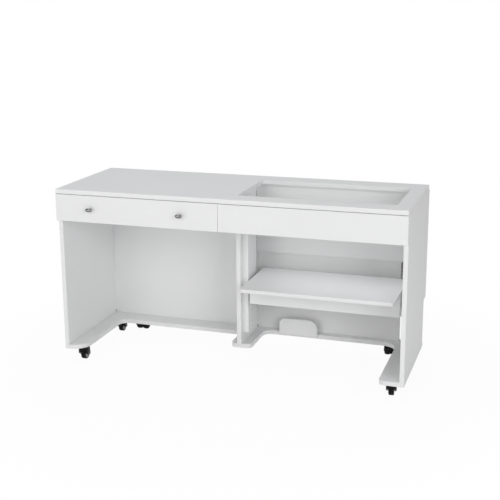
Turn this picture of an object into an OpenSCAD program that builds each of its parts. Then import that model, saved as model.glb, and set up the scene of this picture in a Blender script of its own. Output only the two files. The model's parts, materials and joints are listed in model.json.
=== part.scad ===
// Sewing cabinet with a lift platform, a wide drawer, a rear drop leaf and two gate legs.
// Sizes are in millimetres. Inside the modules X runs from the left end, Y from the front
// and Z from the floor; place() then centres the whole on the floor.

/* [Cabinet] */
// Length of the worktop
cab_w = 1450; // [1400:10:1600]
// Depth of the worktop
cab_d = 520; // [500:5:580]
// Height of the worktop's upper face above the floor
cab_h = 762; // [740:1:800]
// Thickness of the laminated boards
board_t = 18; // [16:0.5:20]
// Small chamfer along the board edges
edge_ease = 0.8; // [0.3:0.1:1.2]
// Clear width of the left knee bay
left_bay_w = 684; // [600:2:700]
// Distance from the front to the divider below its nose
divider_setback = 235; // [180:5:250]
// Height of the drawer front and of the apron
front_h = 112; // [100:1:120]
// Gap above the drawer front and the apron
front_gap = 2; // [1:0.5:3]
// Gap between the drawer front and the apron
front_seam = 1; // [0.8:0.1:2]
// How far the side panels step in below the leaf
back_step = 34; // [20:1:40]

/* [Machine opening] */
// Worktop left in front of the opening
front_strip_w = 90; // [80:1:94]
// Worktop left behind the opening
back_strip_w = 90; // [86:1:100]
// Worktop left over each lift column
opening_side = 39; // [38:1:50]
// Radius of the opening's corners
opening_r = 10; // [5:1:20]
// Gap between the platform and the opening
platform_gap = 2; // [1:0.5:4]

/* [Base] */
// Height of the castors
caster_h = 64; // [60:1:72]
// Width of the left foot
left_foot_w = 88; // [80:1:110]
// Width of the right foot
right_foot_w = 100; // [90:1:120]
// Width of the foot under the divider
mid_foot_w = 90; // [60:2:110]
// How far the foot under the divider stands in front of it
mid_foot_nose = -11; // [-16:1:20]
// Depth of the base board behind the knee bay
left_base_d = 98; // [80:2:140]
// Depth of the base board behind the machine bay
right_base_d = 48; // [46:1:70]
// Radius of the inner corners of the base board
base_inner_r = 40; // [20:2:60]
// Radius of the inner corner beside the right foot
right_inner_r = 64; // [40:2:80]
// Radius of the left foot's corner
foot_corner_r = 68; // [30:2:70]
// Radius of the small foot corners
small_foot_r = 24; // [10:1:26]

/* [Backs] */
// Thickness of the left back panel
left_back_t = 12; // [9:1:14]
// Gap for cables beside the right back panel
cable_gap = 80; // [70:2:90]
// Lower edge of the right rear rail
right_rail_z = 437; // [400:1:440]
// Height of the left rear rail
left_rail_h = 90; // [60:2:100]
// Width of the cable guard
guard_w = 170; // [140:2:200]
// Height of the cable guard
guard_h = 72; // [60:1:90]
// Thickness of the cable guard
guard_t = 12; // [8:1:12]
// How far the cable guard stands from the divider
guard_x = 110; // [90:2:130]
// Larger corner radius of the cable guard
guard_r_right = 40; // [30:1:50]
// Smaller corner radius of the cable guard
guard_r_left = 28; // [15:1:34]

/* [Drawer] */
// Thickness of the drawer box boards
box_t = 12; // [10:1:14]
// Height of the drawer box
box_h = 84; // [76:1:88]
// Room between the drawer box and the rear rail
box_clear = 20; // [10:1:45]
// Thickness of the drawer bottom
bottom_t = 4; // [3:0.5:6]
// Height of the drawer rails
rail_h = 35; // [30:1:40]
// Room for a rail beside the drawer box
rail_room = 12.5; // [12:0.1:14]
// How much shorter the drawer rails are than the box
rail_short = 30; // [26:2:50]
// Distance between the knobs
knob_pitch = 392; // [300:4:450]
// Width of a knob
knob_w = 29; // [22:1:34]
// Height of a knob
knob_h = 16; // [12:1:18]
// How far a knob stands out
knob_reach = 22; // [18:1:26]

/* [Lift] */
// Thickness of the lift columns
col_t = 25; // [22:1:28]
// Depth of the lift columns
col_d = 113; // [100:1:113]
// Room between the lift columns and the rear rail
col_back = 87; // [70:1:95]
// Gap under the lift columns
col_foot = 48; // [40:1:60]
// Height of the platform's upper face above the floor
platform_z = 375; // [350:1:385]
// Thickness of the platform
platform_t = 15; // [12:1:18]
// Thickness of the carriage's plates and side boards
carriage_t = 8; // [6:0.5:10]
// Radius of the platform's corners
platform_r = 12; // [8:1:20]
// Height of the lift carriage's plates
carriage_h = 132; // [110:2:200]
// Width of a carriage plate
carriage_w = 90; // [60:2:120]
// Height of the boards along the sides of the carriage
side_h = 60; // [40:2:80]
// Height of the beam under the platform
beam_h = 90; // [70:2:100]
// Height of the beam behind the carriage
rear_beam_h = 40; // [30:2:60]
// Width of the lift tracks
track_w = 21; // [19:0.5:22]
// Depth of the lift tracks
track_t = 12; // [10:0.5:13]
// Wall of the steel tracks and runners
steel_t = 2; // [1.5:0.1:2.5]
// Outer diameter of the lift springs
spring_d = 16; // [14:0.5:17]
// Wire of the lift springs
wire_d = 2.4; // [2:0.1:3]
// Turns of each lift spring
spring_turns = 40; // [20:1:42]
// Width of the brackets that the lowered platform rests on
rest_w = 24; // [18:1:40]

/* [Leaf and gate legs] */
// Width of the leaf
leaf_w = 468; // [440:2:480]
// Gap between worktop and leaf
leaf_gap = 1; // [0.5:0.1:2]
// Radius of the hinge barrels
hinge_r = 3; // [2.6:0.1:3.2]
// Length of a leaf hinge
hinge_l = 60; // [50:1:62]
// Diameter of the hinge pins
hinge_pin_d = 3; // [2.4:0.1:3.2]
// Width of a hinge plate
hinge_w = 17; // [14:0.5:17]
// Thickness of a hinge plate
hinge_t = 1.5; // [1.2:0.1:1.8]
// Width of a gate leg
leg_w = 397; // [360:2:410]
// Distance from the cabinet's end to a gate leg
leg_inset = 112; // [106:1:125]
// Length of a gate leg hinge
gate_hinge_l = 50; // [40:1:60]

/* [Castors] */
// Side of a castor's top plate
plate_w = 44; // [42:1:60]
// Thickness of a castor's top plate
plate_t = 2.5; // [2:0.1:3]
// Diameter of the castor wheels
wheel_d = 50; // [46:1:52]
// Width of the castor wheels
wheel_w = 21; // [18:0.5:24]
// Width of the swivel housing
fork_w = 41; // [38:1:44]
// Trail of the castor wheels
trail = 18; // [14:1:20]
// Distance from the left end to a castor
left_caster_in = 57; // [50:1:64]
// Distance from the right end to a castor
right_caster_in = 57; // [50:1:64]
// Distance from the front to the front castors
front_caster_y = 69; // [64:1:80]
// Distance from the back to the rear castors
rear_caster_in = 53; // [45:1:80]
// Diameter of the twin wheels under the gate legs
twin_d = 46; // [40:1:48]
// Width of one twin wheel
twin_w = 21; // [16:0.5:22]
// Trail of the twin wheels
twin_trail = 12; // [10:0.5:14]

/* [Hidden] */

$fn = 48;
// Cutters run this far past what they cut
past = 1;
// Running gap between sliding pieces
slide_gap = 0.3;
// Radial gap of a pin in its bore
pin_gap = 0.05;

// Heights
base_top = caster_h + board_t;
slab_z = cab_h - board_t;
front_top = slab_z - front_gap;
front_z = front_top - front_h;

// Places along the length
divider_x = board_t + left_bay_w;
bay_x0 = divider_x + board_t;
bay_x1 = cab_w - board_t;
bay_mid = (bay_x0 + bay_x1) / 2;
apron_x0 = divider_x + board_t / 4;

// Places along the depth
panel_back = cab_d - back_step;
left_back_y = panel_back;
back_rear = left_back_y + left_back_t;
left_base_front = back_rear - left_base_d;
right_base_front = back_rear - right_base_d;
right_back_y = back_rear - board_t;

// Leaf hinge axis, just under the worktop's back edge
hinge_y = cab_d + leaf_gap / 2;
hinge_z = slab_z - hinge_r;
leaf_y = hinge_y + hinge_r;
leaf_top = hinge_z - leaf_gap / 2;
leaf_bottom = leaf_top - leaf_w;
step_z = leaf_bottom + edge_ease;
// Places of the leaf hinges, clear of the gate legs
leaf_hinge_in = 60;
leaf_hinge_room = 61;
leaf_hinge_x = leg_inset + leg_w + leaf_hinge_room + hinge_l / 2;
leaf_hinge_xs = [leaf_hinge_in, leaf_hinge_x, cab_w - leaf_hinge_x, cab_w - leaf_hinge_in];

// Dowels between the boards
dowel_d = 8;
dowel_in_board = 12;
dowel_in_edge = 18;
dowel_inset = 50;
panel_xs = [board_t / 2, divider_x + board_t / 2, cab_w - board_t / 2];
function dowel_ys(y0, y1) = [y0 + dowel_inset, (y0 + y1) / 2, y1 - dowel_inset];
function bottom_ys(i) = dowel_ys(i == 1 ? divider_setback : board_t, panel_back);
top_ys = dowel_ys(board_t, panel_back);

// Drawer box
front_x1 = apron_x0 - front_seam;
box_x0 = board_t + rail_room;
box_x1 = divider_x - rail_room;
box_z = front_z + (front_h - box_h) / 2;
box_d = left_back_y - box_clear - 2 * board_t;
rail_l = box_d - rail_short;
groove_up = 8;
groove_in = 5;
rail_y0 = board_t + front_gap * 2;
rail_z = box_z + (box_h - rail_h) / 2;
// Air between a rail and the drawer box
rail_air = 1.5;
knob_z = front_z + front_h / 2;
knob_xs = [front_x1 / 2 - knob_pitch / 2, front_x1 / 2 + knob_pitch / 2];
knob_neck_d = 9;
knob_foot_d = 14;
knob_foot_t = 3;
knob_head_t = 9;
// Radius of the domed face of a knob's head
knob_dome_r = 32;
screw_d = 4;
screw_head_d = 8;
screw_head_t = 2.5;
// Depth left between a knob's screw and the end of its bore
screw_end = 1;

// Lift
opening_w = bay_x1 - bay_x0 - 2 * opening_side;
opening_d = cab_d - front_strip_w - back_strip_w;
platform_w = opening_w - 2 * platform_gap;
platform_d = opening_d - 2 * platform_gap;
platform_x0 = bay_mid - platform_w / 2;
platform_x1 = bay_mid + platform_w / 2;
platform_y0 = front_strip_w + platform_gap;
carriage_top = platform_z - platform_t;
col_rear = right_back_y - board_t - col_back;
col_front = col_rear - col_d;
lift_travel = cab_h - platform_z;
// Room that the runners' plates keep below the worktop at full rise
rise_gap = 3;
plate_top = slab_z - lift_travel - rise_gap;
plate_z = plate_top - carriage_h;
// The front beam stands in front of the columns, the carriage's plates behind the tracks
beam_in_front = 12;
carriage_y0 = col_front - beam_in_front;
carriage_gap = 4;
// Room between a plate and the side of the bay
plate_in = 2;
plate_y = col_rear + track_t + carriage_gap;
beam_z = carriage_top - beam_h;
track_in = 1;
// How far the tracks reach below the lowered plates, and how far they stay under the worktop
track_below = 22;
track_under_top = 6;
track_z0 = plate_z - track_below;
track_z1 = slab_z - track_under_top;
runner_w = track_w - 2 * steel_t - 2 * slide_gap;
runner_t = track_t + carriage_gap - steel_t - slide_gap;
runner_short = 14;
lift_runner_h = carriage_h - runner_short;
// Room around a spring
spring_room = 2;
spring_out = spring_d / 2 + spring_room;
spring_y = plate_y + carriage_t + spring_d / 2 + spring_room;
arm_t = 3;
arm_w = 20;
anchor_h = 12;
anchor_z = slab_z - anchor_h;
anchor_gap = 1;
// Brackets that carry the lowered carriage
rest_t = 3;
rest_up = 10;
rest_z0 = base_top + col_foot + rest_up;
rest_in = 30;
rest_y = col_front + rest_in;
rest_slot_w = 6;
rest_slot_h = 14;

// Gate legs
leg_top = slab_z - front_gap / 2;
leg_x0 = leg_inset;
leg_x1 = leg_inset + leg_w;
leg_y = back_rear + hinge_r;
leg_corner_r = 20;
gate_hinge_in = 80;
gate_hinge_zs = [caster_h + gate_hinge_in, (caster_h + leg_top) / 2, leg_top - gate_hinge_in];
twin_in = 25;
stem_d = 8;
stem_l = 30;

// Castors
axle_d = 6;
king_d = 8;
hub_d = 18;
// Depth of the dish in a wheel's side, width of its rim and rounding of its tread
dish_d = 2.5;
rim_t = 4.5;
tread_r = 2.5;
twin_web = 12;
twin_hood_t = 2;
twin_stem_d = 18;
twin_edge = 2;
// Turn of each castor about its king pin, front left, front right, rear left, rear right
castor_turns = [2, 4, 3, 6];
right_caster_x = cab_w - right_caster_in;
castor_xs = [left_caster_in, right_caster_x, left_caster_in, right_caster_x];
rear_caster_y = back_rear - rear_caster_in;
castor_ys = [front_caster_y, front_caster_y, rear_caster_y, rear_caster_y];
left_stem = [leg_x0 + twin_in, leg_y + board_t / 2];
right_stem = [cab_w - leg_x0 - twin_in, leg_y + board_t / 2];

// Middle of the whole depth, from the knobs to the twin wheel behind the left gate leg
mid_y = (left_stem[1] + twin_trail + twin_d / 2 + twin_hood_t - knob_reach) / 2;

white = "whitesmoke";
steel = "silver";
black = "dimgray";

module place() {
  translate([-cab_w / 2, -mid_y, 0])
    children();
}

// Mirrors a piece of the left gate leg or the left column about a plane across the length
module mirror_at(x) {
  translate([2 * x, 0, 0])
    mirror([1, 0, 0])
      children();
}

module eased_rect(w, h, e) {
  polygon([
    [e, 0], [w - e, 0], [w, e], [w, h - e],
    [w - e, h], [e, h], [0, h - e], [0, e]
  ]);
}

// A board whose twelve edges are all eased
module board(w, d, h, e = edge_ease) {
  intersection() {
    linear_extrude(h)
      eased_rect(w, d, e);
    translate([0, d, 0])
      rotate([90, 0, 0])
        linear_extrude(d)
          eased_rect(w, h, e);
    rotate([90, 0, 90])
      linear_extrude(w)
        eased_rect(d, h, e);
  }
}

// A board from one corner to the opposite one
module board_at(p, q, e = edge_ease) {
  translate(p)
    board(q[0] - p[0], q[1] - p[1], q[2] - p[2], e);
}

module round_rect(w, d, r) {
  translate([r, 0])
    square([w - 2 * r, d]);
  translate([0, r])
    square([w, d - 2 * r]);
  for (x = [r, w - r])
    for (y = [r, d - r])
      translate([x, y])
        circle(r);
}

// A board with rounded corners whose edges are all eased
module rounded_board(w, d, h, r, e = edge_ease) {
  translate([0, d - r, 0])
    rotate([90, 0, 0])
      linear_extrude(d - 2 * r)
        eased_rect(w, h, e);
  translate([r, 0, 0])
    rotate([90, 0, 90])
      linear_extrude(w - 2 * r)
        eased_rect(d, h, e);
  for (x = [r, w - r])
    for (y = [r, d - r])
      translate([x, y, 0])
        rotate_extrude()
          polygon([[0, 0], [r - e, 0], [r, e], [r, h - e], [r - e, h], [0, h]]);
}

// The waste of a rounded outer corner; the corner lies at the origin, the board at +X +Y
module corner_waste(r) {
  difference() {
    translate([-past, -past])
      square(r + past);
    translate([r, r])
      circle(r);
  }
}

module bore_x(x0, x1, y, z, d) {
  translate([x0, y, z])
    rotate([0, 90, 0])
      cylinder(h = x1 - x0, d = d);
}

module bore_y(x, y0, y1, z, d) {
  translate([x, y0, z])
    rotate([-90, 0, 0])
      cylinder(h = y1 - y0, d = d);
}

// Holes for the dowels that join an upright to the board above or below it
module dowel_set(z, down, up, i, ys, gap) {
  for (y = ys)
    translate([panel_xs[i], y, z - down])
      cylinder(h = down + up, d = dowel_d + 2 * gap);
}

module top_dowels(gap = 0) {
  for (i = [0 : 2])
    dowel_set(slab_z, dowel_in_edge + gap, dowel_in_board + gap, i, top_ys, gap);
}

module bottom_dowels(gap = 0) {
  for (i = [0 : 2])
    dowel_set(base_top, dowel_in_board + gap, dowel_in_edge + gap, i, bottom_ys(i), gap);
}

module dowels() {
  color("burlywood")
    place() {
      top_dowels();
      bottom_dowels();
    }
}

// Worktop

module top_slab() {
  color(white)
    place()
      difference() {
        board_at([0, 0, slab_z], [cab_w, cab_d, cab_h]);
        translate([bay_mid - opening_w / 2, front_strip_w, slab_z - past])
          linear_extrude(board_t + 2 * past)
            round_rect(opening_w, opening_d, opening_r);
        top_dowels(pin_gap);
      }
}

// Uprights

module side_profile() {
  polygon([
    [board_t, base_top], [panel_back, base_top], [panel_back, step_z],
    [cab_d, step_z], [cab_d, slab_z], [board_t, slab_z]
  ]);
}

module side_panel() {
  intersection() {
    rotate([90, 0, 90])
      linear_extrude(board_t)
        side_profile();
    board_at([0, board_t, base_top], [board_t, cab_d, slab_z]);
  }
}

module left_side_panel() {
  color(white)
    place()
      difference() {
        side_panel();
        top_dowels(pin_gap);
        bottom_dowels(pin_gap);
      }
}

module right_side_panel() {
  color(white)
    place()
      difference() {
        mirror_at(cab_w / 2)
          side_panel();
        top_dowels(pin_gap);
        bottom_dowels(pin_gap);
      }
}

// The divider reaches the front only behind the drawer front
module divider() {
  color(white)
    place()
      difference() {
        board_at([divider_x, board_t, base_top], [bay_x0, back_rear, slab_z]);
        translate([divider_x - past, 0, base_top - past])
          cube([board_t + 2 * past, divider_setback, front_z - base_top + past]);
        top_dowels(pin_gap);
        bottom_dowels(pin_gap);
      }
}

// Base board with a foot at each end and one under the divider

mid_foot_shift = 3;
mid_foot_x0 = divider_x + board_t / 2 - mid_foot_w / 2 + mid_foot_shift;
mid_foot_x1 = mid_foot_x0 + mid_foot_w;
mid_foot_y = divider_setback - mid_foot_nose;
right_foot_x0 = cab_w - right_foot_w;
far = 100;

module base_outline() {
  difference() {
    translate([0, board_t])
      square([cab_w, back_rear - board_t]);
    translate([left_foot_w, -far])
      round_rect(mid_foot_x0 - left_foot_w, left_base_front + far, base_inner_r);
    difference() {
      translate([mid_foot_x1, -far])
        round_rect(right_foot_x0 - mid_foot_x1, right_base_front + far, base_inner_r);
      translate([right_foot_x0, right_base_front])
        rotate(180)
          corner_waste(right_inner_r);
    }
    translate([left_foot_w + base_inner_r, -far])
      square([right_foot_x0 - left_foot_w - 2 * base_inner_r, mid_foot_y + far]);
    translate([left_foot_w, board_t])
      mirror([1, 0])
        corner_waste(foot_corner_r);
    translate([right_foot_x0, board_t])
      corner_waste(small_foot_r);
    translate([mid_foot_x0, mid_foot_y])
      corner_waste(small_foot_r);
    translate([mid_foot_x1, mid_foot_y])
      mirror([1, 0])
        corner_waste(small_foot_r);
  }
}

module base_board() {
  color(white)
    place()
      difference() {
        translate([0, 0, caster_h])
          linear_extrude(board_t)
            base_outline();
        bottom_dowels(pin_gap);
      }
}

// Backs and rails

module left_back_panel() {
  color(white)
    place()
      board_at([board_t, left_back_y, base_top], [divider_x, back_rear, slab_z]);
}

module right_back_panel() {
  color(white)
    place()
      board_at([bay_x0, right_back_y, base_top], [bay_x1 - cable_gap, back_rear, slab_z]);
}

module left_rear_rail() {
  color(white)
    place()
      board_at([board_t, left_back_y - board_t, slab_z - left_rail_h],
               [divider_x, left_back_y, slab_z]);
}

module right_rear_rail() {
  color(white)
    place()
      board_at([bay_x0, right_back_y - board_t, right_rail_z],
               [bay_x1, right_back_y, slab_z]);
}

module front_apron() {
  color(white)
    place()
      board_at([apron_x0, 0, front_z], [cab_w, board_t, front_top]);
}

cleat_h = 30;

module apron_cleat() {
  color(white)
    place()
      board_at([bay_x0, board_t, slab_z - cleat_h], [bay_x1, 2 * board_t, slab_z]);
}

// The guard overlaps the upper half of the base board's front edge
guard_up = 2;
guard_z = caster_h + board_t / 2 + guard_up;

module cable_guard() {
  color(white)
    place()
      translate([bay_x0 + guard_x, right_base_front, guard_z])
        rotate([90, 0, 0])
          linear_extrude(guard_t)
            difference() {
              square([guard_w, guard_h]);
              translate([0, guard_h])
                mirror([0, 1])
                  corner_waste(guard_r_left);
              translate([guard_w, guard_h])
                rotate(180)
                  corner_waste(guard_r_right);
            }
}

// Drawer

module drawer_front() {
  color(white)
    place()
      difference() {
        board_at([0, 0, front_z], [front_x1, board_t, front_top]);
        for (x = knob_xs)
          bore_y(x, -past, board_t + past, knob_z, screw_d + 2 * pin_gap);
      }
}

module drawer_side(x) {
  difference() {
    board_at([x, board_t, box_z], [x + box_t, board_t + box_d, box_z + box_h]);
    bottom_groove();
  }
}

module bottom_groove() {
  translate([box_x0 + box_t - groove_in - slide_gap, board_t + box_t - groove_in - slide_gap,
             box_z + groove_up])
    cube([box_x1 - box_x0 - 2 * box_t + 2 * groove_in + 2 * slide_gap,
          box_d - 2 * box_t + 2 * groove_in + 2 * slide_gap, bottom_t]);
}

module drawer_left_side() {
  color(white)
    place()
      drawer_side(box_x0);
}

module drawer_right_side() {
  color(white)
    place()
      drawer_side(box_x1 - box_t);
}

module cross_board(y) {
  difference() {
    board_at([box_x0 + box_t, y, box_z], [box_x1 - box_t, y + box_t, box_z + box_h]);
    bottom_groove();
    for (x = knob_xs)
      bore_y(x, board_t - past, board_t + box_t + past, knob_z, screw_d + 2 * pin_gap);
  }
}

module drawer_inner_front() {
  color(white)
    place()
      cross_board(board_t);
}

module drawer_back() {
  color(white)
    place()
      cross_board(board_t + box_d - box_t);
}

module drawer_bottom() {
  color(white)
    place()
      translate([box_x0 + box_t - groove_in, board_t + box_t - groove_in, box_z + groove_up])
        cube([box_x1 - box_x0 - 2 * box_t + 2 * groove_in,
              box_d - 2 * box_t + 2 * groove_in, bottom_t]);
}

// An oval knob with a domed head on a turned neck
module knob(x) {
  difference() {
    union() {
      bore_y(x, -knob_foot_t, 0, knob_z, knob_foot_d);
      bore_y(x, -knob_reach + knob_head_t / 2, 0, knob_z, knob_neck_d);
      intersection() {
        translate([x, -knob_reach + knob_head_t, knob_z])
          rotate([90, 0, 0])
            linear_extrude(knob_head_t)
              oval(knob_w, knob_h);
        translate([x, -knob_reach + knob_dome_r, knob_z])
          sphere(knob_dome_r);
      }
    }
    bore_y(x, -knob_reach + knob_head_t, past, knob_z, screw_d + 2 * pin_gap);
  }
}

module oval(w, h) {
  square([w - h, h], center = true);
  for (s = [-1, 1])
    translate([s * (w - h) / 2, 0])
      circle(d = h);
}

module left_knob() {
  color(steel)
    place()
      knob(knob_xs[0]);
}

module right_knob() {
  color(steel)
    place()
      knob(knob_xs[1]);
}

module knob_screws() {
  head_y = board_t + box_t;
  color(steel)
    place()
      for (x = knob_xs) {
        bore_y(x, -knob_reach + knob_head_t + screw_end, head_y, knob_z, screw_d);
        bore_y(x, head_y, head_y + screw_head_t, knob_z, screw_head_d);
      }
}

// A steel channel along Y, open towards +X, its web on the plane X = 0
module channel_y(h, t, l) {
  difference() {
    cube([t, l, h]);
    translate([steel_t, -past, steel_t])
      cube([t, l + 2 * past, h - 2 * steel_t]);
  }
}

rail_t = rail_room - rail_air;
runner_h = rail_h - 2 * steel_t - 2 * slide_gap;
rail_reach = rail_room - steel_t - slide_gap;

module drawer_rails() {
  color(steel)
    place() {
      translate([board_t, rail_y0, rail_z])
        channel_y(rail_h, rail_t, rail_l);
      mirror_at((board_t + divider_x) / 2)
        translate([board_t, rail_y0, rail_z])
          channel_y(rail_h, rail_t, rail_l);
    }
}

module drawer_runner() {
  translate([box_x0, rail_y0, rail_z + steel_t + slide_gap])
    mirror([1, 0, 0])
      channel_y(runner_h, rail_reach, rail_l);
}

module drawer_runners() {
  color(steel)
    place() {
      drawer_runner();
      mirror_at((board_t + divider_x) / 2)
        drawer_runner();
    }
}

// Lift

module lift_column() {
  board_at([bay_x0, col_front, base_top + col_foot],
           [bay_x0 + col_t, col_front + col_d, slab_z]);
}

module left_lift_column() {
  color(white)
    place()
      lift_column();
}

module right_lift_column() {
  color(white)
    place()
      mirror_at(bay_mid)
        lift_column();
}

// A steel channel along Z, open towards +Y, its web on the plane Y = 0
module channel_z(w, t, l) {
  difference() {
    cube([w, t, l]);
    translate([steel_t, steel_t, -past])
      cube([w - 2 * steel_t, t, l + 2 * past]);
  }
}

module both_sides() {
  children();
  mirror_at(bay_mid)
    children();
}

// The tracks stand on the rear edges of the columns
module lift_tracks() {
  color(steel)
    place()
      both_sides()
        translate([bay_x0 + track_in, col_rear, track_z0])
          channel_z(track_w, track_t, track_z1 - track_z0);
}

module lift_runners() {
  color(steel)
    place()
      both_sides()
        translate([bay_x0 + track_in + steel_t + slide_gap, plate_y, plate_z])
          mirror([0, 1, 0])
            channel_z(runner_w, runner_t, lift_runner_h);
}

// Steel brackets on the inner faces of the columns, on which the lowered carriage rests
module lift_rest() {
  rest_top = carriage_top - side_h;
  difference() {
    translate([bay_x0 + col_t, rest_y, rest_z0])
      cube([steel_t, rest_w, rest_top - rest_z0]);
    for (share = [0.2, 0.5, 0.8])
      translate([bay_x0 + col_t - past, rest_y + (rest_w - rest_slot_w) / 2,
                 rest_z0 + share * (rest_top - rest_z0) - rest_slot_h / 2])
        cube([steel_t + 2 * past, rest_slot_w, rest_slot_h]);
  }
  translate([bay_x0 + col_t, rest_y, rest_top - rest_t])
    cube([platform_x0 + carriage_t - bay_x0 - col_t, rest_w, rest_t]);
}

module lift_rests() {
  color(steel)
    place()
      both_sides()
        lift_rest();
}

// Plates behind the columns that join the runners to the rear beam
module carriage_plates() {
  color(white)
    place()
      both_sides()
        board_at([bay_x0 + plate_in, plate_y, plate_z],
                 [bay_x0 + plate_in + carriage_w, plate_y + carriage_t, plate_top], edge_ease / 2);
}

// Boards under the ends of the platform, from the front beam to the plates
module carriage_sides() {
  color(white)
    place()
      both_sides()
        board_at([platform_x0, carriage_y0, carriage_top - side_h],
                 [platform_x0 + carriage_t, plate_y, carriage_top], edge_ease / 2);
}

module machine_platform() {
  color(white)
    place()
      translate([platform_x0, platform_y0, carriage_top])
        rounded_board(platform_w, platform_d, platform_t, platform_r);
}

module platform_front_beam() {
  color(white)
    place()
      board_at([platform_x0, carriage_y0 - board_t, beam_z],
               [platform_x1, carriage_y0, carriage_top]);
}

module platform_rear_beam() {
  beam_y = plate_y + carriage_t;
  color(white)
    place()
      board_at([platform_x0, beam_y, carriage_top - rear_beam_h],
               [platform_x1, beam_y + board_t, carriage_top]);
}

// Springs that carry most of the machine's weight: an angle under the worktop, an arm on the
// carriage below, and an extension spring between them

spring_x = bay_x0 + spring_out;
arm_x0 = bay_x0 + plate_in;
arm_x1 = spring_x + spring_d / 2;
arm_y0 = plate_y + carriage_t;
arm_up = 4;
arm_z = plate_z + arm_up;
tab_h = 36;

module spring_arm() {
  translate([arm_x0, arm_y0, arm_z])
    cube([arm_x1 - arm_x0, steel_t, tab_h]);
  translate([arm_x0, arm_y0, arm_z])
    cube([arm_x1 - arm_x0, arm_w, arm_t]);
}

module spring_arms() {
  color(steel)
    place()
      both_sides()
        spring_arm();
}

module spring_anchor() {
  translate([bay_x0, arm_y0 + anchor_gap, anchor_z])
    cube([arm_x1 - bay_x0, arm_w - anchor_gap, arm_t]);
  translate([bay_x0, arm_y0 + anchor_gap, anchor_z])
    cube([arm_t, arm_w - anchor_gap, anchor_h]);
}

module spring_anchors() {
  color(steel)
    place()
      both_sides()
        spring_anchor();
}

// Points of the spring's wire: a straight end on the axis, half a turn out, the turns, and back
coil_r = (spring_d - wire_d) / 2;
end_l = 8;
turn_steps = 8;
spring_z0 = arm_z + arm_t;
spring_z1 = anchor_z;
half = turn_steps / 2;
turn_n = spring_turns * turn_steps;
rise = (spring_z1 - spring_z0 - 2 * end_l) / (turn_n + 2 * half);
function coil_in(k) = min(1, k / half, (turn_n + 2 * half - k) / half);
function coil_point(k) = [
  coil_r * coil_in(k) * cos(k * 360 / turn_steps),
  coil_r * coil_in(k) * sin(k * 360 / turn_steps),
  spring_z0 + end_l + k * rise
];
spring_path = concat(
  [[0, 0, spring_z0], [0, 0, spring_z0 + end_l / 2]],
  [for (k = [0 : turn_n + 2 * half]) coil_point(k)],
  [[0, 0, spring_z1 - end_l / 2], [0, 0, spring_z1]]
);
function unit(v) = v / norm(v);
function along(p, i) = (i <= 1 || i >= len(p) - 2) ? [0, 0, 1] : unit(p[i + 1] - p[i - 1]);
function outward(i) = [cos((i - 2) * 360 / turn_steps), sin((i - 2) * 360 / turn_steps), 0];
function ring(p, i, r, sides) =
  let (t = along(p, i), a = unit(outward(i) - (outward(i) * t) * t), b = cross(t, a))
    [for (s = [0 : sides - 1]) p[i] + r * (cos(s * 360 / sides) * a + sin(s * 360 / sides) * b)];

module wire(p, d, sides = 6) {
  n = len(p);
  points = [for (i = [0 : n - 1]) each ring(p, i, d / 2, sides)];
  walls = [
    for (i = [0 : n - 2], s = [0 : sides - 1])
      let (a = i * sides + s, b = i * sides + (s + 1) % sides)
        each [[a, a + sides, b], [b, a + sides, b + sides]]
  ];
  first = [for (s = [1 : sides - 2]) [0, s, s + 1]];
  last = [for (s = [1 : sides - 2]) [(n - 1) * sides, (n - 1) * sides + s + 1, (n - 1) * sides + s]];
  polyhedron(points = points, faces = concat(walls, first, last));
}

// Least gap between neighbouring turns, measured on the wire's points
turn_gaps = [
  for (i = [2 : len(spring_path) - turn_steps - 3])
    norm(spring_path[i + turn_steps] - spring_path[i]) - wire_d
];
echo(least_spring_gap = min(turn_gaps));

module lift_spring() {
  translate([spring_x, spring_y, 0])
    wire(spring_path, wire_d);
}

module left_lift_spring() {
  color(steel)
    place()
      lift_spring();
}

module right_lift_spring() {
  color(steel)
    place()
      translate([2 * (bay_mid - spring_x), 0, 0])
        lift_spring();
}

// Rear leaf and its hinges

module rear_leaf() {
  color(white)
    place()
      board_at([0, leaf_y, leaf_bottom], [cab_w, leaf_y + board_t, leaf_top]);
}

// Hinge knuckles along X: the fixed plate has the two outer ones, the flap the middle one
module knuckle_x(x0, x1) {
  difference() {
    bore_x(x0, x1, hinge_y, hinge_z, 2 * hinge_r);
    bore_x(x0 - past, x1 + past, hinge_y, hinge_z, hinge_pin_d + 2 * pin_gap);
  }
}

module leaf_hinge_plate(x) {
  third = hinge_l / 3;
  difference() {
    union() {
      translate([x - hinge_l / 2, hinge_y - hinge_r - hinge_w, slab_z - hinge_t])
        cube([hinge_l, hinge_w, hinge_t]);
      for (x0 = [x - hinge_l / 2, x + third / 2])
        translate([x0, hinge_y - hinge_r - past, slab_z - hinge_t])
          cube([third, hinge_r + past - leaf_gap / 2, hinge_t]);
      knuckle_x(x - hinge_l / 2, x - third / 2);
      knuckle_x(x + third / 2, x + hinge_l / 2);
    }
    bore_x(x - hinge_l, x + hinge_l, hinge_y, hinge_z, hinge_pin_d + 2 * pin_gap);
  }
}

module leaf_hinge_plates() {
  color(steel)
    place()
      for (x = leaf_hinge_xs)
        leaf_hinge_plate(x);
}

module leaf_hinge_flap(x) {
  k = hinge_l / 6 - slide_gap;
  difference() {
    union() {
      translate([x - hinge_l / 2, leaf_y - hinge_t, hinge_z - hinge_r - hinge_w - slide_gap])
        cube([hinge_l, hinge_t, hinge_w]);
      translate([x - k, leaf_y - hinge_t, hinge_z - hinge_r - past])
        cube([2 * k, hinge_t, hinge_r + past]);
      knuckle_x(x - k, x + k);
    }
    bore_x(x - hinge_l, x + hinge_l, hinge_y, hinge_z, hinge_pin_d + 2 * pin_gap);
  }
}

module leaf_hinge_flaps() {
  color(steel)
    place()
      for (x = leaf_hinge_xs)
        leaf_hinge_flap(x);
}

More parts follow.
